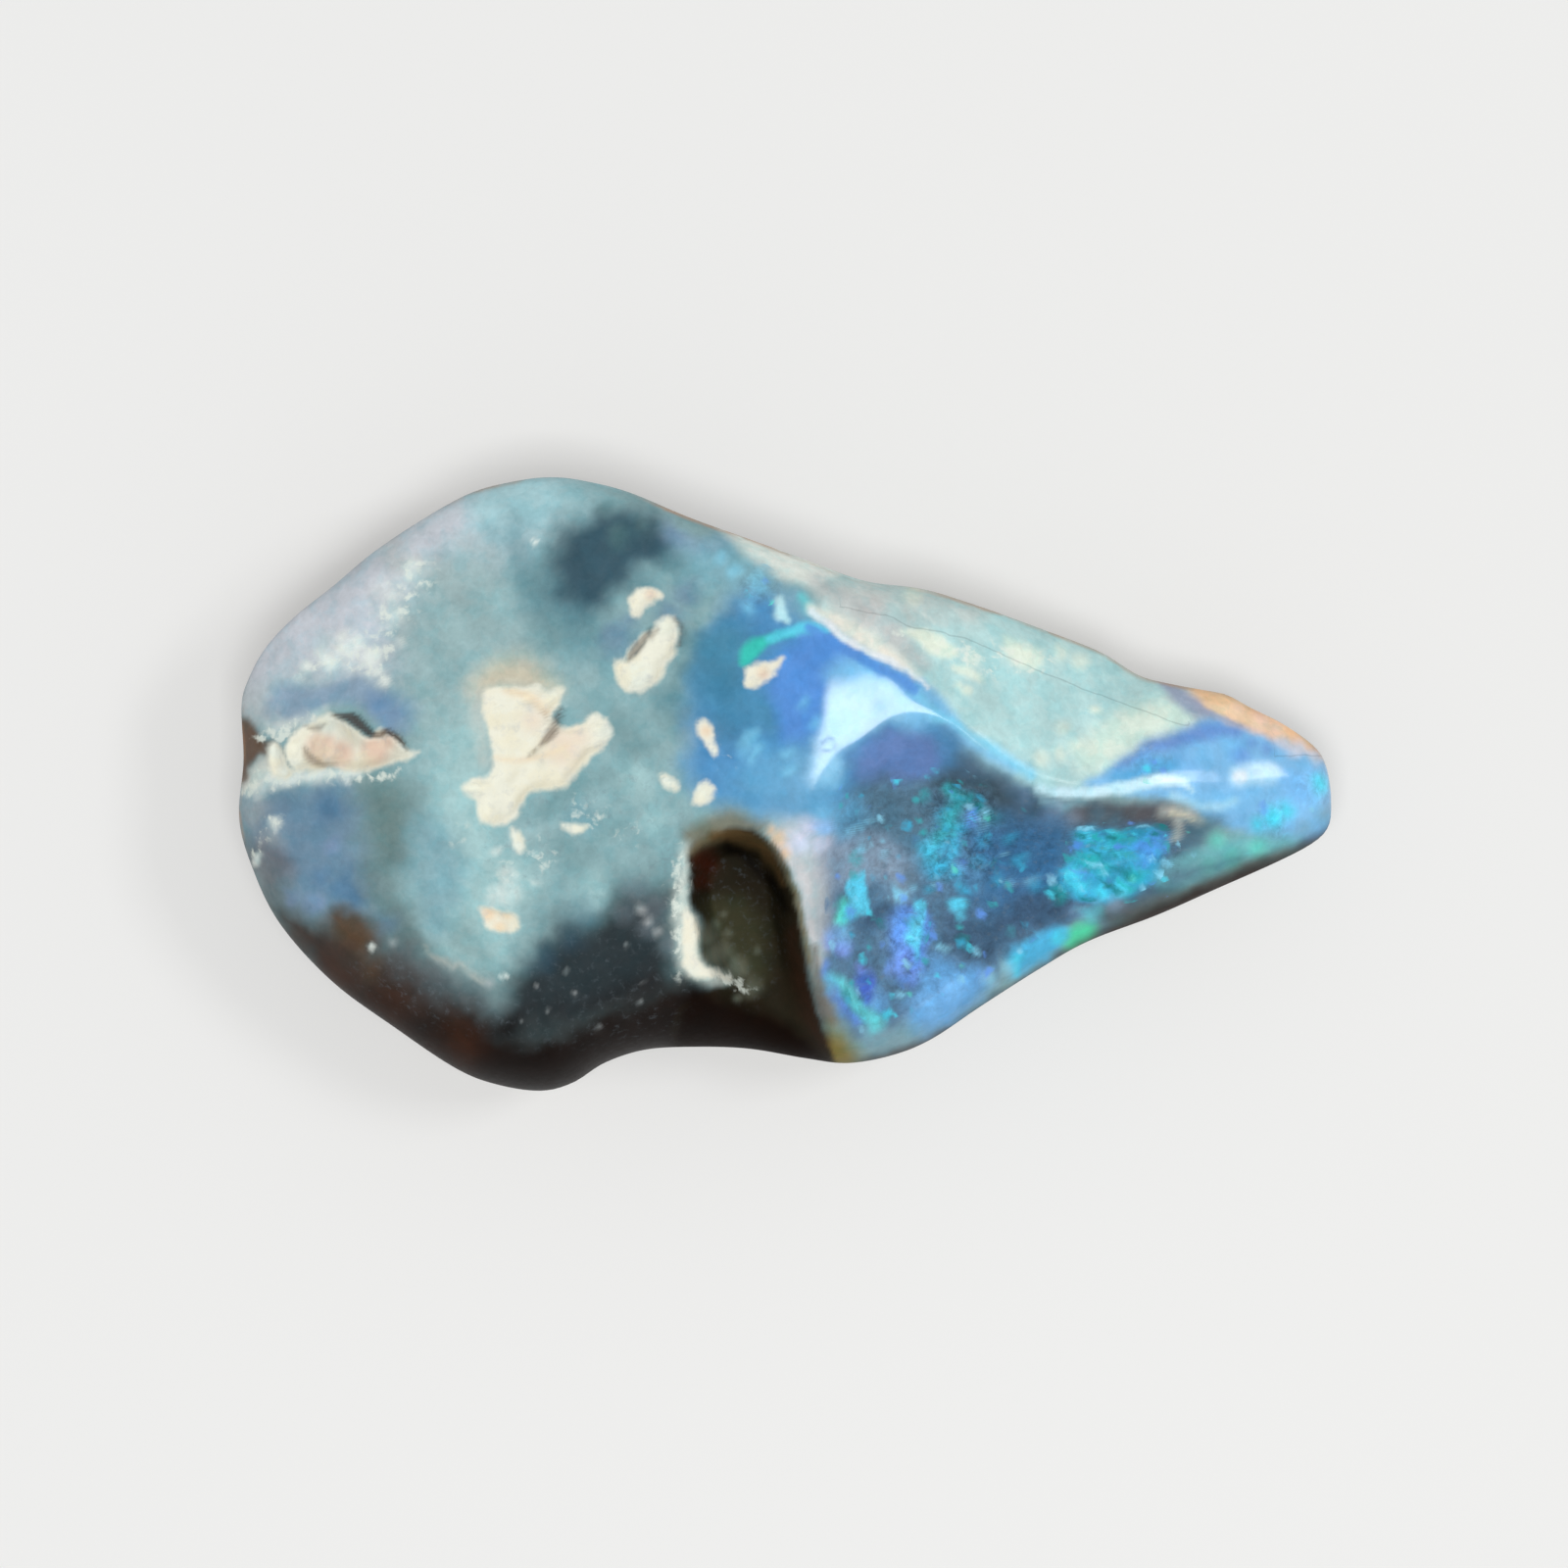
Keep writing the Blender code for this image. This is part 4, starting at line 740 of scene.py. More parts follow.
# How far the host rock's edge is torn, in millimetres, and the share of that in the skin's two edges
RAGGED = 0.22
SKIN_RAGGED = 0.6
BELOW_RAGGED = 1.6
# The rock's roughness, the clear coat of the polished places, and the relief of the mottling and the rock,
# whose depth is in millimetres
ROCK_ROUGHNESS = 0.85
COAT = 0.6
MOTTLE_RELIEF = 0.06
CHALK_RELIEF = 0.5
BUMP_STRENGTH = 0.6
BUMP_DEPTH = 0.08
# What the cooler drifts in the body take out of its colour
COOLER = (0.78, 0.94, 0.97, 1.0)
STONE_FINISH = {"Coat Roughness": 0.13, "Specular IOR Level": 0.04, "IOR": 1.45}

# The floor reaches this far each way, in metres
FLOOR_REACH = 1.5
FLOOR_TONES = ((0.472, 0.472, 0.466, 1.0), (0.492, 0.492, 0.486, 1.0))
FLOOR_FINISH = {
    "Emission Color": (1.0, 1.0, 0.99, 1.0), "Emission Strength": 0.32, "Roughness": 0.9,
    "Specular IOR Level": 0.1,
}

# The camera's film, its lens and the height that fills its frame, in millimetres, its shift in pixels, and
# how near and far it sees in metres
FILM = 36.0
LENS = 250.0
FRAMED_HEIGHT = 4.3
CAMERA_SHIFT = (-2, 1.3)
NEAREST_SEEN = 0.01
FARTHEST_SEEN = 10.0


def smooth_curve(points, closed, steps=CURVE_STEPS):
    """A smooth curve that passes through all the points, one row for each place on it."""
    points = np.asarray(points, float)
    count = len(points)
    if closed:
        ahead = points[np.arange(-1, count + 2) % count]
    else:
        ahead = np.vstack((2 * points[0] - points[1], points, 2 * points[-1] - points[-2]))
    t = (np.arange(steps) / steps)[:, None]
    rows = []
    for span in range(len(ahead) - 3):
        a, b, c, d = ahead[span : span + 4]
        bend = (2 * a - 5 * b + 4 * c - d) * t**2
        twist = (3 * b - a - 3 * c + d) * t**3
        rows.append(0.5 * (2 * b + (c - a) * t + bend + twist))
    if not closed:
        rows.append(points[-1:])
    return np.vstack(rows)


def nearest_on(curve, places, closed):
    """The distance from each place to the curve, and how far along the curve's rows the nearest point is."""
    start = curve[:, :2]
    end = np.roll(start, -1, axis=0)
    if not closed:
        start, end = start[:-1], end[:-1]
    run = end - start
    length_squared = (run**2).sum(1) + LEAST_RUN_SQUARED
    distance = np.empty(len(places))
    along = np.empty(len(places))
    for first in range(0, len(places), BLOCK):
        block = places[first : first + BLOCK]
        offset_x = block[:, :1] - start[:, 0]
        offset_y = block[:, 1:2] - start[:, 1]
        share = np.clip((offset_x * run[:, 0] + offset_y * run[:, 1]) / length_squared, 0, 1)
        gap = (offset_x - share * run[:, 0]) ** 2 + (offset_y - share * run[:, 1]) ** 2
        nearest = gap.argmin(1)
        row = np.arange(len(block))
        distance[first : first + BLOCK] = np.sqrt(gap[row, nearest])
        along[first : first + BLOCK] = nearest + share[row, nearest]
    return distance, along


def inside(curve, places):
    """True for each place inside the closed curve."""
    x, y = places[:, 0], places[:, 1]
    within = np.zeros(len(places), bool)
    for (x0, y0), (x1, y1) in zip(curve[:, :2], np.roll(curve[:, :2], -1, axis=0)):
        if y0 != y1:
            within ^= ((y0 > y) != (y1 > y)) & (x < (x1 - x0) * (y - y0) / (y1 - y0) + x0)
    return within


def depth_inside(curve, places):
    """The distance to the closed curve, above zero inside it and below zero outside."""
    distance, _ = nearest_on(curve, places, closed=True)
    return np.where(inside(curve, places), distance, -distance)


def side_of(route, places, along):
    """How far each place lies to the left of a route's heading."""
    rows = np.arange(len(route))
    heading = np.gradient(route[:, :2], axis=0)
    turn_x, turn_y = (np.interp(along, rows, column) for column in heading.T)
    x, y = (np.interp(along, rows, column) for column in route[:, :2].T)
    return turn_x * (places[:, 1] - y) - turn_y * (places[:, 0] - x)


def smooth_step(t):
    t = np.clip(t, 0, 1)
    return t * t * (3 - 2 * t)


def eased(distance, rounding):
    return (distance + np.sqrt(distance**2 + rounding**2)) / 2


def basin(t):
    return 1 - (1 - np.clip(t, 0, 1)) ** 2


def shoulder(t):
    return (1 - (1 - np.clip(t, 0, 1)) ** 3) ** SHOULDER_POWER


def thin_plate(spots, places):
    """The smoothest sheet through the spot heights, read at each place."""

    def kernel(r_squared):
        return r_squared * np.log(r_squared + LEAST_GAP_SQUARED)

    spots = np.asarray(spots, float)
    xy = spots[:, :2]
    count = len(spots)
    system = np.zeros((count + 3, count + 3))
    system[:count, :count] = kernel(((xy[:, None] - xy[None]) ** 2).sum(2))
    system[:count, count:] = np.column_stack((np.ones(count), xy))
    system[count:, :count] = system[:count, count:].T
    weights = np.linalg.solve(system, np.append(spots[:, 2], (0, 0, 0)))
    bending = kernel(((places[:, None] - xy[None]) ** 2).sum(2)) @ weights[:count]
    return bending + weights[count] + places @ weights[count + 1 :]


def rim_height(places):
    wander = np.sin(2 * math.pi * places[:, 0] / RIM_WAVELENGTH + RIM_PHASE)
    return RIM_HEIGHT + places @ RIM_CLIMB + RIM_WANDER * wander


def ridge_fall(places):
    crest = smooth_curve(RIDGE, closed=False)
    behind = inside(np.vstack((crest, BEHIND_THE_RIDGE)), places)
    distance, _ = nearest_on(crest, places, closed=False)
    beyond_panel = smooth_step((places[:, 0] - PANEL_END_X) / PANEL_END_SPAN + 0.5)
    slope = PANEL_SLOPE + (TIP_SLOPE - PANEL_SLOPE) * beyond_panel
    return slope * eased(np.where(behind, distance, -distance), CREST_ROUNDING)


def scoop_fall(places):
    depth = depth_inside(smooth_curve(SCOOP, closed=True), places)
    return SCOOP_DEPTH * basin(eased(depth, CREST_ROUNDING) / SCOOP_WALL)


def gully_fall(places):
    route = smooth_curve(GULLY, closed=False)
    distance, along = nearest_on(route, places, closed=False)
    rows = np.arange(len(route))
    left, right, depth, left_wall, right_wall = (np.interp(along, rows, column) for column in route.T[2:])
    towards_right = smooth_step(side_of(route, places, along) / GULLY_SIDE_BLEND + 0.5)
    reach = left + (right - left) * towards_right
    wall = left_wall + (right_wall - left_wall) * towards_right
    return depth * smooth_step((reach - distance) / wall)


def rubbing(places):
    height = np.zeros(len(places))
    for degrees, wavelength, size in RUBBING_WAVES:
        angle = math.radians(degrees)
        phase = places @ (math.cos(angle), math.sin(angle)) * 2 * math.pi / wavelength
        height += size * np.sin(phase + degrees)
    return height


def softened_crests():
    """The ridge's and scoop's falls on a fine even lattice, blurred so that their creases are round."""
    x = np.arange(*RELIEF_SPAN_X, RELIEF_PITCH)
    y = np.arange(*RELIEF_SPAN_Y, RELIEF_PITCH)
    places = np.column_stack([axis.ravel() for axis in np.meshgrid(x, y)])
    fall = (ridge_fall(places) + scoop_fall(places)).reshape(len(y), len(x))
    passes = int((CREST_BLUR * BLUR_SHARE / RELIEF_PITCH) ** 2 * 2)
    for _ in range(passes):
        for axis in (0, 1):
            ends = np.pad(fall, [(1, 1) if axis == k else (0, 0) for k in (0, 1)], mode="edge")
            middle = np.take(ends, range(1, ends.shape[axis] - 1), axis)
            before = np.take(ends, range(ends.shape[axis] - 2), axis)
            after = np.take(ends, range(2, ends.shape[axis]), axis)
            fall = 0.5 * middle + 0.25 * (before + after)
    return x, y, fall


def read_lattice(lattice, places):
    x, y, values = lattice
    column = np.clip((places[:, 0] - x[0]) / RELIEF_PITCH, 0, len(x) - LAST_CELL)
    row = np.clip((places[:, 1] - y[0]) / RELIEF_PITCH, 0, len(y) - LAST_CELL)
    i, j = row.astype(int), column.astype(int)
    u, v = row - i, column - j
    low = values[i, j] * (1 - v) + values[i, j + 1] * v
    high = values[i + 1, j] * (1 - v) + values[i + 1, j + 1] * v
    return low * (1 - u) + high * u


def shoulder_width(places):
    towards_front = smooth_step((SHOULDER_BACK_Y - places[:, 1]) / (SHOULDER_BACK_Y - SHOULDER_FRONT_Y))
    return BACK_SHOULDER + (FRONT_SHOULDER - BACK_SHOULDER) * towards_front


def underside_height(places, edge_distance):
    height = np.zeros(len(places))
    for bearing, start, slope in UNDER_FACES:
        angle = math.radians(bearing)
        face = slope * (places @ (math.cos(angle), math.sin(angle)) - start)
        overlap = np.clip(FACE_BLEND - np.abs(height - face), 0, None)
        height = np.maximum(height, face) + overlap**2 / (4 * FACE_BLEND)
    rim = rim_height(places)
    height = np.minimum(height, rim - LEAST_WALL)
    return rim + (height - rim) * shoulder(edge_distance / UNDER_SHOULDER)


def disc_place(a, b):
    """A place in a square from -1 to 1 carried to the unit disc: ring number and bearing."""
    ring = np.maximum(np.abs(a), np.abs(b))
    safe = np.where(ring == 0, 1, ring)
    quarter = math.pi / 4
    east_west = quarter * b / safe * np.sign(a) + np.where(a < 0, math.pi, 0)
    north_south = (2 * quarter - quarter * a / safe) * np.sign(b)
    return ring, np.where(np.abs(a) >= np.abs(b), east_west, north_south)


def outline_reach(outline, bearing):
    """The outline's point in each bearing from the hub, in a plan squeezed along its length."""
    offset = outline - HUB
    angle = np.arctan2(offset[:, 1], offset[:, 0] / STRETCH) % (2 * math.pi)
    order = np.argsort(angle)
    bearing = bearing % (2 * math.pi)
    reach = [np.interp(bearing, angle[order], offset[order, k], period=2 * math.pi) for k in (0, 1)]
    return np.column_stack(reach)


def plan_places(flat):
    ring, bearing = disc_place(flat[:, 0], flat[:, 1])
    reach = 1 - (1 - ring) ** RIM_CROWDING
    outline = smooth_curve(OUTLINE, closed=True)
    places = HUB + outline_reach(outline, bearing) * reach[:, None]
    edge_distance, _ = nearest_on(outline, places, closed=True)
    return places, np.where(ring >= ON_THE_RIM, 0, edge_distance)


def noise_field(places, name):
    """Smooth noise about zero at each place, with the same values each run."""
    wavelength, seed = NOISES[name]
    shift = Vector([seed * step for step in NOISE_SHIFT])
    spots = [Vector((x / wavelength, y / wavelength, 0)) + shift for x, y in places]
    return np.array([noise.fractal(spot, NOISE_FALL, NOISE_STEP, NOISE_OCTAVES) for spot in spots])


def noise_pair(places, name):
    return np.column_stack((noise_field(places, name + "_x"), noise_field(places, name + "_y")))


def shape_depth(kind, points, spots):
    """How deep each spot lies inside a paint shape, in pixels, below zero outside it."""
    if kind == "area":
        return depth_inside(smooth_curve(points, closed=True), spots)
    if kind == "discs":
        depth = np.full(len(spots), FAR_OUTSIDE)
        for x, y, radius in points:
            depth = np.maximum(depth, radius - np.hypot(spots[:, 0] - x, spots[:, 1] - y))
        return depth
    route = smooth_curve(points, closed=False)
    distance, along = nearest_on(route, spots, closed=False)
    return np.interp(along, np.arange(len(route)), route[:, 2]) - distance


def near_shape(points, spots, margin):
    """Which spots are near enough to a shape to be touched by it."""
    corners = np.asarray(points, float)
    reach = margin + (corners[:, 2].max() if corners.shape[1] == 3 else CURVE_BULGE)
    low = corners[:, :2].min(0) - reach
    high = corners[:, :2].max(0) + reach
    return np.flatnonzero(((spots >= low) & (spots <= high)).all(1))


def linear(colour):
    share = np.asarray(colour, float) / 255
    return np.where(share <= 0.04045, share / 12.92, ((share + 0.055) / 1.055) ** 2.4)


def lay_paint(rows, ground, spots):
    """Lays each named patch over the ground colour, in turn."""
    for kind, colour, softness, strength, points in rows:
        touched = near_shape(points, spots, softness)
        depth = shape_depth(kind, points, spots[touched])
        cover = (strength * smooth_step(0.5 + depth / (2 * softness)))[:, None]
        ground[touched] = ground[touched] * (1 - cover) + linear(COLOURS[colour]) * cover
    return ground


def lay_values(rows, ground, spots):
    for kind, softness, value, points in rows:
        touched = near_shape(points, spots, softness)
        cover = smooth_step(0.5 + shape_depth(kind, points, spots[touched]) / (2 * softness))
        ground[touched] = ground[touched] * (1 - cover) + value * cover
    return ground


def to_pixels(places):
    return np.column_stack((MIDDLE[0] + places[:, 0] / PIXEL, MIDDLE[1] - places[:, 1] / PIXEL))


def rock_depth(spots):
    """How deep each spot lies inside the nearest host rock, in millimetres, and how far its pit sinks."""
    depth = np.full(len(spots), FAR_FROM_ROCK)
    sink = np.zeros(len(spots))
    for _, points, pit_depth, wall in ROCKS:
        touched = near_shape(points, spots, ROCK_MARGIN)
        inner = shape_depth("area", points, spots[touched]) * PIXEL
        depth[touched] = np.maximum(depth[touched], inner)
        sink[touched] = np.maximum(sink[touched], pit_depth * smooth_step(inner / wall))
    return depth, sink


def crevice_depth(spots):
    """How dark each spot is in a crevice, from 0 to 1, and how far it sinks."""
    dark = np.zeros(len(spots))
    sink = np.zeros(len(spots))
    for points, deep, darkness in CREVICES:
        touched = near_shape(points, spots, CREVICE_MARGIN)
        inner = shape_depth("streak", points, spots[touched]) * PIXEL
        shade = darkness * smooth_step(inner / CREVICE_SHADE_WALL + CREVICE_START)
        dark[touched] = np.maximum(dark[touched], shade)
        sink[touched] = np.maximum(sink[touched], deep * smooth_step(inner / CREVICE_WALL + CREVICE_START))
    return dark, sink


def hairline_side(spots):
    """The signed distance to the nearest hairline crack in millimetres, so that its zero is the crack."""
    value = np.full(len(spots), FAR_FROM_CRACK)
    for points in HAIRLINES:
        touched = near_shape(points, spots, HAIRLINE_MARGIN)
        route = smooth_curve(points, closed=False)
        distance, along = nearest_on(route, spots[touched], closed=False)
        side = np.sign(side_of(route, spots[touched], along))
        past = (along <= 0) | (along >= len(route) - 1)
        nearer = distance * PIXEL < np.abs(value[touched])
        signed = np.where(past, distance + PAST_THE_END, distance * side) * PIXEL
        value[touched] = np.where(nearer, signed, value[touched])
    return value


def make_skin():
    """The stone's mesh: an upper sheet of fine cells and a plainer underside that share the rim."""
    stone = bmesh.new()
    bmesh.ops.create_grid(stone, x_segments=GRID_LONG, y_segments=GRID_SHORT, size=1)
    inner = [edge for edge in stone.edges if not edge.is_boundary]
    bmesh.ops.subdivide_edges(stone, edges=inner, cuts=1, use_grid_fill=True)
    upper_count = len(stone.verts)
    bmesh.ops.create_grid(stone, x_segments=GRID_LONG, y_segments=GRID_SHORT, size=1)
    stone.verts.ensure_lookup_table()
    flat = np.array([vertex.co[:2] for vertex in stone.verts])
    return stone, flat, upper_count


def upper_height(places, edge_distance, spots):
    crests = read_lattice(softened_crests(), places)
    sheet = thin_plate(SPOT_HEIGHTS, places) + rubbing(places) - crests - gully_fall(places)
    rock, rock_sink = rock_depth(spots)
    crevice, crevice_sink = crevice_depth(spots)
    lumps = ROCK_LUMPS * noise_field(places, "lumps") * smooth_step(rock / ROCK_LUMPS_FADE)
    sheet += lumps - rock_sink - crevice_sink
    rim = rim_height(places)
    height = rim + (sheet - rim) * shoulder(edge_distance / shoulder_width(places))
    return height, rock, crevice


def add_values(mesh, name, values):
    layer = mesh.attributes.new(name, "FLOAT", "POINT")
    layer.data.foreach_set("value", np.ascontiguousarray(values, np.float32))


def add_colours(mesh, name, colours):
    layer = mesh.attributes.new(name, "FLOAT_COLOR", "POINT")
    opaque = np.ones((len(colours), 4), np.float32)
    opaque[:, :3] = colours
    layer.data.foreach_set("color", opaque.ravel())


def stone_tints(places, spots, swirled, steadier, upper, under):
    """The body's colour and the host rock's at each place, in that order."""
    tint = np.tile(linear(COLOURS["teal"]), (len(places), 1))
    tint = lay_paint(PAINT, tint, swirled)
    tint = lay_paint(FINE_PAINT, tint, steadier)
    potch = smooth_step(0.5 + POTCH_CONTRAST * noise_field(places, "potch"))[:, None]
    host = linear(COLOURS["potch"]) * (1 - potch) + linear(COLOURS["tan"]) * potch
    tint = tint * (1 - under[:, None]) + host * under[:, None]
    rock_tint = np.tile(linear(COLOURS["cream"]), (len(places), 1))
    rock_tint[upper] = lay_paint(ROCK_PAINT, rock_tint[upper], spots[upper])
    return tint, rock_tint


def build_stone():
    stone, flat, upper_count = make_skin()
    places, edge_distance = plan_places(flat)
    count = len(places)
    upper = np.arange(count) < upper_count
    spots = to_pixels(places)
    swirl = noise_pair(places, "swirl")
    ripple = noise_pair(places, "ripple")
    swirled, steadier = (spots + far * swirl + near * ripple for far, near in (SWIRLED, STEADIER))
    rippled = (spots + RIPPLED_EDGE * ripple)[upper]
    height = np.empty(count)
    height[upper], rock, crevice = upper_height(places[upper], edge_distance[upper], rippled)
    height[~upper] = underside_height(places[~upper], edge_distance[~upper])

    frayed = edge_distance * (1 + UNDERSIDE_FRAY * noise_field(places, "fray")) / UNDERSIDE_FADE
    under = np.where(upper, 0, smooth_step(frayed))
    values = {
        "rock": np.full(count, FAR_FROM_ROCK),
        "crevice": np.zeros(count),
        "hairline": np.full(count, FAR_FROM_CRACK),
    }
    values["rock"][upper] = rock
    values["crevice"][upper] = crevice
    values["hairline"][upper] = hairline_side(rippled)
    values["polish"] = lay_values(POLISH, np.full(count, PLAIN_POLISH), steadier) * (1 - under)
    for name, rows in MASKS.items():
        values[name] = lay_values(rows, np.zeros(count), steadier) * (1 - under)
    values["edge"] = np.where(upper, edge_distance, -edge_distance)

    middle = (places.min(0) + places.max(0)) / 2
    for vertex, (x, y), z in zip(stone.verts, places - middle, height):
        vertex.co = (x * MM, y * MM, z * MM)
    mesh = bpy.data.meshes.new("opal_stone")
    bmesh.ops.recalc_face_normals(stone, faces=stone.faces[:])
    stone.to_mesh(mesh)
    stone.free()
    for name, numbers in values.items():
        add_values(mesh, name, numbers)
    tint, rock_tint = stone_tints(places, spots, swirled, steadier, upper, under)
    add_colours(mesh, "tint", tint)
    add_colours(mesh, "rock_tint", rock_tint)
    weld(mesh)
    return mesh


def weld(mesh):
    """Joins the two sheets along the rim."""
    stone = bmesh.new()
    stone.from_mesh(mesh)
    bmesh.ops.remove_doubles(stone, verts=stone.verts[:], dist=WELD_DISTANCE)
    bmesh.ops.recalc_face_normals(stone, faces=stone.faces[:])
    stone.to_mesh(mesh)
    stone.free()
    mesh.shade_smooth()


def rgba(name):
    return (*linear(COLOURS[name]), 1.0)


def fill_ramp(ramp, stops, interpolation):
    """Sets a colour ramp's stops, each a position from 0 to 1 and a colour."""
    ramp.interpolation = interpolation
    while len(ramp.elements) < len(stops):
        ramp.elements.new(0.5)
    for element, (position, colour) in zip(ramp.elements, stops):
        element.position = position
        element.color = colour


class Nodes:
    """A small helper that makes and links a material's nodes."""

    def __init__(self, material):
        material.use_nodes = True
        self.tree = material.node_tree
        self.shader = self.tree.nodes["Principled BSDF"]

    def add(self, kind, inputs=(), **settings):
        node = self.tree.nodes.new(kind)
        for name, value in settings.items():
            setattr(node, name, value)
        self.fill(node, dict(inputs))
        return node

    def fill(self, node, inputs):
        """Links or sets each named input of a node."""
        for name, value in inputs.items():
            if isinstance(value, bpy.types.NodeSocket):
                self.tree.links.new(value, node.inputs[name])
            else:
                node.inputs[name].default_value = value

    def attribute(self, name, output="Fac"):
        return self.add("ShaderNodeAttribute", attribute_name=name).outputs[output]

    def math(self, operation, a, b=0.0):
        return self.add("ShaderNodeMath", {0: a, 1: b}, operation=operation).outputs[0]

    def times(self, product, *others):
        for other in others:
            product = self.math("MULTIPLY", product, other)
        return product

    def remap(self, value, low, high, to_low=0.0, to_high=1.0, straight=False):
        kind = "LINEAR" if straight else "SMOOTHSTEP"
        inputs = {"Value": value, "From Min": low, "From Max": high, "To Min": to_low, "To Max": to_high}
        return self.add("ShaderNodeMapRange", inputs, interpolation_type=kind).outputs["Result"]

    def spread(self, value, name):
        return self.remap(value, *SPREADS[name])

    def mix(self, share, a, b, blend="MIX"):
        inputs = {"Factor": share, 6: a, 7: b}
        return self.add("ShaderNodeMix", inputs, data_type="RGBA", blend_type=blend).outputs[2]

    def mix_values(self, share, a, b):
        return self.add("ShaderNodeMix", {0: share, 2: a, 3: b}, data_type="FLOAT").outputs[0]

    def noise(self, vector, name, output="Fac", finer=1.0):
        scale, detail, roughness = TEXTURES[name]
        inputs = {"Vector": vector, "Scale": scale * finer, "Detail": detail, "Roughness": roughness}
        return self.add("ShaderNodeTexNoise", inputs).outputs[output]

    def warp(self, vector, scale, reach):
        """The vector moved about by noise, so that straight edges break up."""
        inputs = {0: self.noise(vector, "warp", "Color", scale), 1: (reach,) * 3, 2: vector}
        return self.add("ShaderNodeVectorMath", inputs, operation="MULTIPLY_ADD").outputs[0]

    def voronoi(self, vector, scale, output, feature="F1"):
        inputs = {"Vector": vector, "Scale": scale}
        return self.add("ShaderNodeTexVoronoi", inputs, feature=feature).outputs[output]

    def mapping(self, vector, **changes):
        return self.add("ShaderNodeMapping", {"Vector": vector, **changes}).outputs["Vector"]

    def steps(self, share, stops):
        node = self.add("ShaderNodeValToRGB", {"Fac": share})
        fill_ramp(node.color_ramp, [(position, rgba(colour)) for position, colour in stops], "CONSTANT")
        return node.outputs["Color"]


def lay_flecks(nodes, colour, wavy, mottle):
    """The play of colour: soft blobs, and the strokes of the plume."""
    for mask, pitch, stretch, bearing, share, shape, strength, tints in FLECKS:
        turned = nodes.mapping(wavy, Rotation=(0, 0, -bearing))
        turned = nodes.mapping(turned, Scale=(1 / stretch, 1.0, 1.0))
        cell = nodes.add("ShaderNodeSeparateColor", {0: nodes.voronoi(turned, pitch, "Color")})
        if shape == "blob":
            distance = nodes.voronoi(turned, pitch, "Distance")
            inner = nodes.math("SUBTRACT", nodes.spread(cell.outputs[2], "blob"), distance)
        else:
            inner = nodes.voronoi(turned, pitch, "Distance", "DISTANCE_TO_EDGE")
        present = nodes.math("LESS_THAN", cell.outputs[1], nodes.times(nodes.attribute(mask), share))
        shine = nodes.remap(mottle, *FLECK_SHINE, FLECK_LEAST * strength, strength)
        present = nodes.times(present, nodes.spread(inner, "fleck"), shine)
        colour = nodes.mix(present, colour, nodes.steps(cell.outputs[0], tints))
    return colour


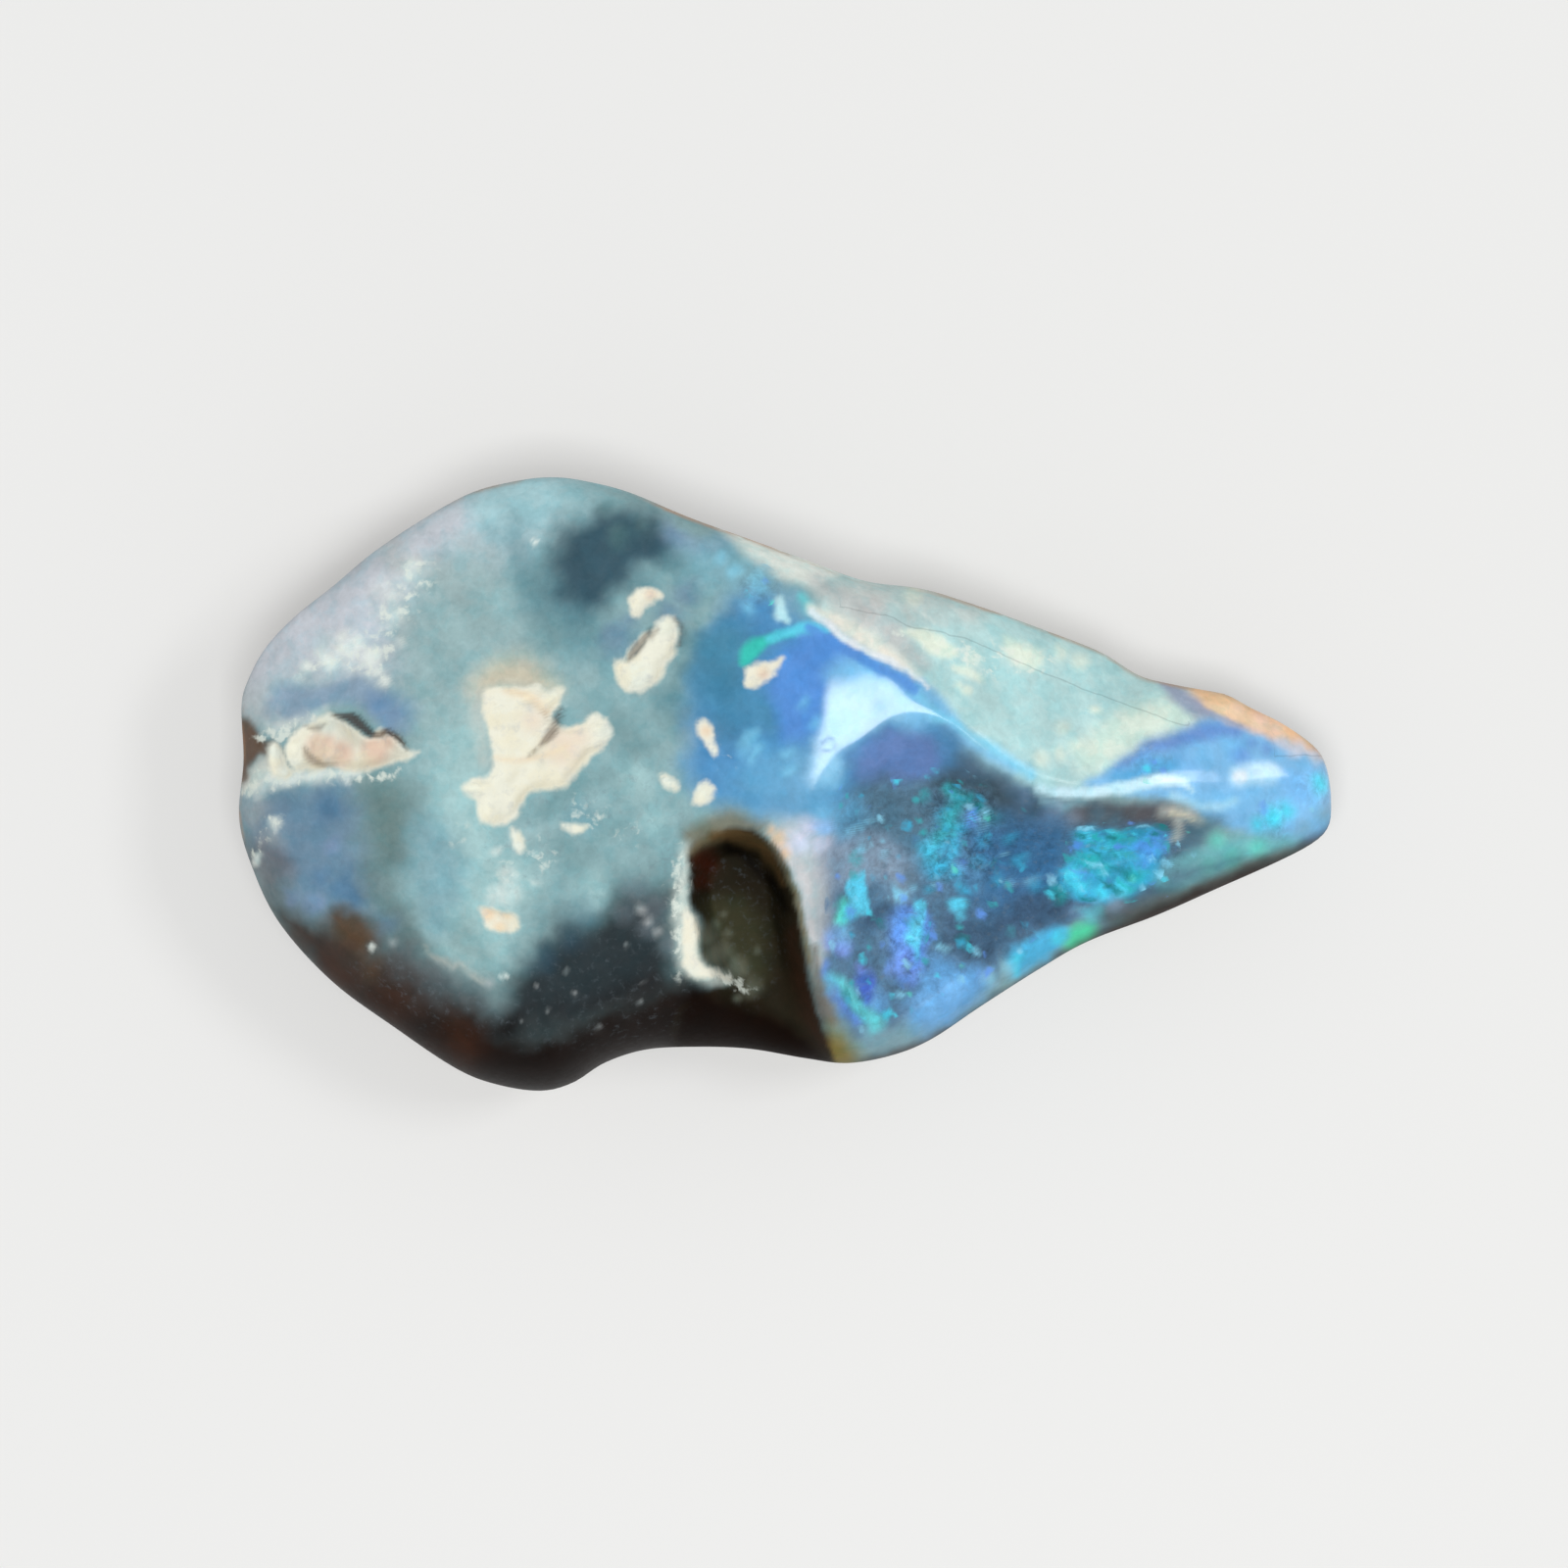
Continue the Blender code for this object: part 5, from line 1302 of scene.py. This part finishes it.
def opal_material():
    material = bpy.data.materials.new("opal_stone")
    nodes = Nodes(material)
    where = nodes.add("ShaderNodeTexCoord").outputs["Object"]
    where = nodes.mapping(where, Scale=(1 / MM,) * 3)
    wavy = where
    for scale, reach in WARPS:
        wavy = nodes.warp(wavy, scale, reach)

    # Cloudy mottling of the body colour
    cloud = nodes.noise(wavy, "cloud")
    mottle = nodes.noise(wavy, "mottle")
    shade = nodes.times(nodes.spread(cloud, "cloud_shade"), nodes.spread(mottle, "mottle_shade"))
    lively = nodes.math("SUBTRACT", nodes.noise(wavy, "lively"), 0.5)
    shade = nodes.math("ADD", shade, nodes.times(lively, LIVELY, nodes.attribute("flash")))
    shade = nodes.add("ShaderNodeCombineColor", {0: shade, 1: shade, 2: shade}).outputs[0]
    colour = nodes.mix(1.0, nodes.attribute("tint", "Color"), shade, "MULTIPLY")
    drift = nodes.spread(nodes.noise(wavy, "drift"), "drift")
    colour = nodes.mix(drift, colour, COOLER, "MULTIPLY")
    colour = lay_flecks(nodes, colour, wavy, mottle)

    # White lumps in the clouded places, fine dust and hairline cracks
    lump = nodes.noise(wavy, "lump")
    clouded = nodes.attribute("froth")
    froth = nodes.math("ADD", clouded, nodes.spread(lump, "froth_lump"))
    froth = nodes.times(nodes.spread(froth, "froth"), nodes.spread(clouded, "froth_place"), COVERS["froth"])
    colour = nodes.mix(froth, colour, rgba("chalk"))
    dust = nodes.spread(nodes.noise(wavy, "dust"), "dust")
    colour = nodes.mix(nodes.times(dust, COVERS["dust"], nodes.attribute("dust")), colour, rgba("haze"))
    crack = nodes.spread(nodes.math("ABSOLUTE", nodes.attribute("hairline")), "crack")
    colour = nodes.mix(nodes.times(crack, COVERS["crack"]), colour, rgba("mauve_grey"))

    # Host rock with a soft ragged edge, and the crevices round it
    ragged = nodes.times(nodes.math("SUBTRACT", nodes.noise(where, "ragged"), 0.5), RAGGED)
    chalk = nodes.noise(where, "chalk")
    rock = nodes.spread(nodes.math("ADD", nodes.attribute("rock"), ragged), "rock")
    rock_colour = nodes.attribute("rock_tint", "Color")
    rock_colour = nodes.mix(nodes.spread(cloud, "rock_butter"), rock_colour, rgba("butter"))
    rock_colour = nodes.mix(nodes.spread(lump, "rock_wisp"), rock_colour, rgba("wisp"))
    colour = nodes.mix(nodes.times(rock, COVERS["rock"]), colour, rock_colour)
    colour = nodes.mix(nodes.attribute("crevice"), colour, rgba("dark_rock"))

    # A thin tan skin along the rim
    edge = nodes.attribute("edge")
    skin = nodes.spread(nodes.math("ADD", edge, nodes.times(ragged, SKIN_RAGGED)), "skin")
    below = nodes.spread(nodes.math("ADD", edge, nodes.times(ragged, BELOW_RAGGED)), "skin_below")
    patchy = nodes.spread(nodes.noise(where, "patchy"), "patchy")
    skin = nodes.times(skin, below, nodes.attribute("skin"), patchy, COVERS["skin"])
    colour = nodes.mix(skin, colour, rgba("rim_tan"))

    # Polish and relief
    polish = nodes.attribute("polish")
    rough = nodes.math("ADD", nodes.spread(polish, "polish_rough"), nodes.spread(mottle, "mottle_rough"))
    coat = nodes.times(polish, COAT, nodes.math("SUBTRACT", 1.0, rock))
    relief = nodes.mix_values(rock, nodes.times(mottle, MOTTLE_RELIEF), nodes.times(chalk, CHALK_RELIEF))
    bump_inputs = {"Height": relief, "Strength": BUMP_STRENGTH, "Distance": BUMP_DEPTH * MM}
    bump = nodes.add("ShaderNodeBump", bump_inputs)
    nodes.fill(nodes.shader, {
        "Base Color": colour,
        "Roughness": nodes.mix_values(rock, rough, ROCK_ROUGHNESS),
        "Coat Weight": coat,
        "Normal": bump.outputs["Normal"],
        **STONE_FINISH,
    })
    return material


def floor_material():
    material = bpy.data.materials.new("floor")
    nodes = Nodes(material)
    where = nodes.add("ShaderNodeTexCoord").outputs["Object"]
    soft = nodes.spread(nodes.noise(where, "floor"), "floor")
    nodes.fill(nodes.shader, {"Base Color": nodes.mix(soft, *FLOOR_TONES), **FLOOR_FINISH})
    return material


def place_object(name, data):
    thing = bpy.data.objects.new(name, data)
    bpy.context.scene.collection.objects.link(thing)
    return thing


def add_floor():
    mesh = bpy.data.meshes.new("floor")
    corners = [(x * FLOOR_REACH, y * FLOOR_REACH, 0) for x, y in ((-1, -1), (1, -1), (1, 1), (-1, 1))]
    mesh.from_pydata(corners, [], [(0, 1, 2, 3)])
    mesh.materials.append(floor_material())
    place_object("floor", mesh)


def add_light(name, place, size, power):
    data = bpy.data.lights.new(name, "AREA")
    data.shape = "RECTANGLE"
    data.size, data.size_y = size
    data.energy = power
    light = place_object(name, data)
    light.location = place
    light.rotation_euler = (-Vector(place)).to_track_quat("-Z", "Y").to_euler()


def add_studio():
    world = bpy.data.worlds.new("studio")
    bpy.context.scene.world = world
    world.use_nodes = True
    tree = world.node_tree
    background = tree.nodes["Background"]
    direction = tree.nodes.new("ShaderNodeTexCoord").outputs["Generated"]
    split = tree.nodes.new("ShaderNodeSeparateXYZ")
    tree.links.new(direction, split.inputs[0])
    ramp = tree.nodes.new("ShaderNodeValToRGB")
    fill_ramp(ramp.color_ramp, [(height, (glow, glow, glow, 1.0)) for height, glow in SKY], "EASE")
    tree.links.new(split.outputs["Z"], ramp.inputs["Fac"])
    tree.links.new(ramp.outputs["Color"], background.inputs["Color"])
    for lamp in LAMPS:
        add_light(*lamp)


def add_camera():
    data = bpy.data.cameras.new("camera")
    data.sensor_width = FILM
    data.lens = LENS
    data.clip_start = NEAREST_SEEN
    data.clip_end = FARTHEST_SEEN
    camera = place_object("camera", data)
    distance = FRAME_WIDTH * PIXEL * LENS / FILM
    shift_x, shift_y = CAMERA_SHIFT
    camera.location = (shift_x * PIXEL * MM, shift_y * PIXEL * MM, (FRAMED_HEIGHT + distance) * MM)
    bpy.context.scene.camera = camera


bpy.context.scene.view_settings.view_transform = "Standard"
add_floor()
add_studio()
add_camera()
opal_mesh = build_stone()
opal_mesh.materials.append(opal_material())
opal = place_object("opal_stone", opal_mesh)
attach(opal, "root")
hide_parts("opal")
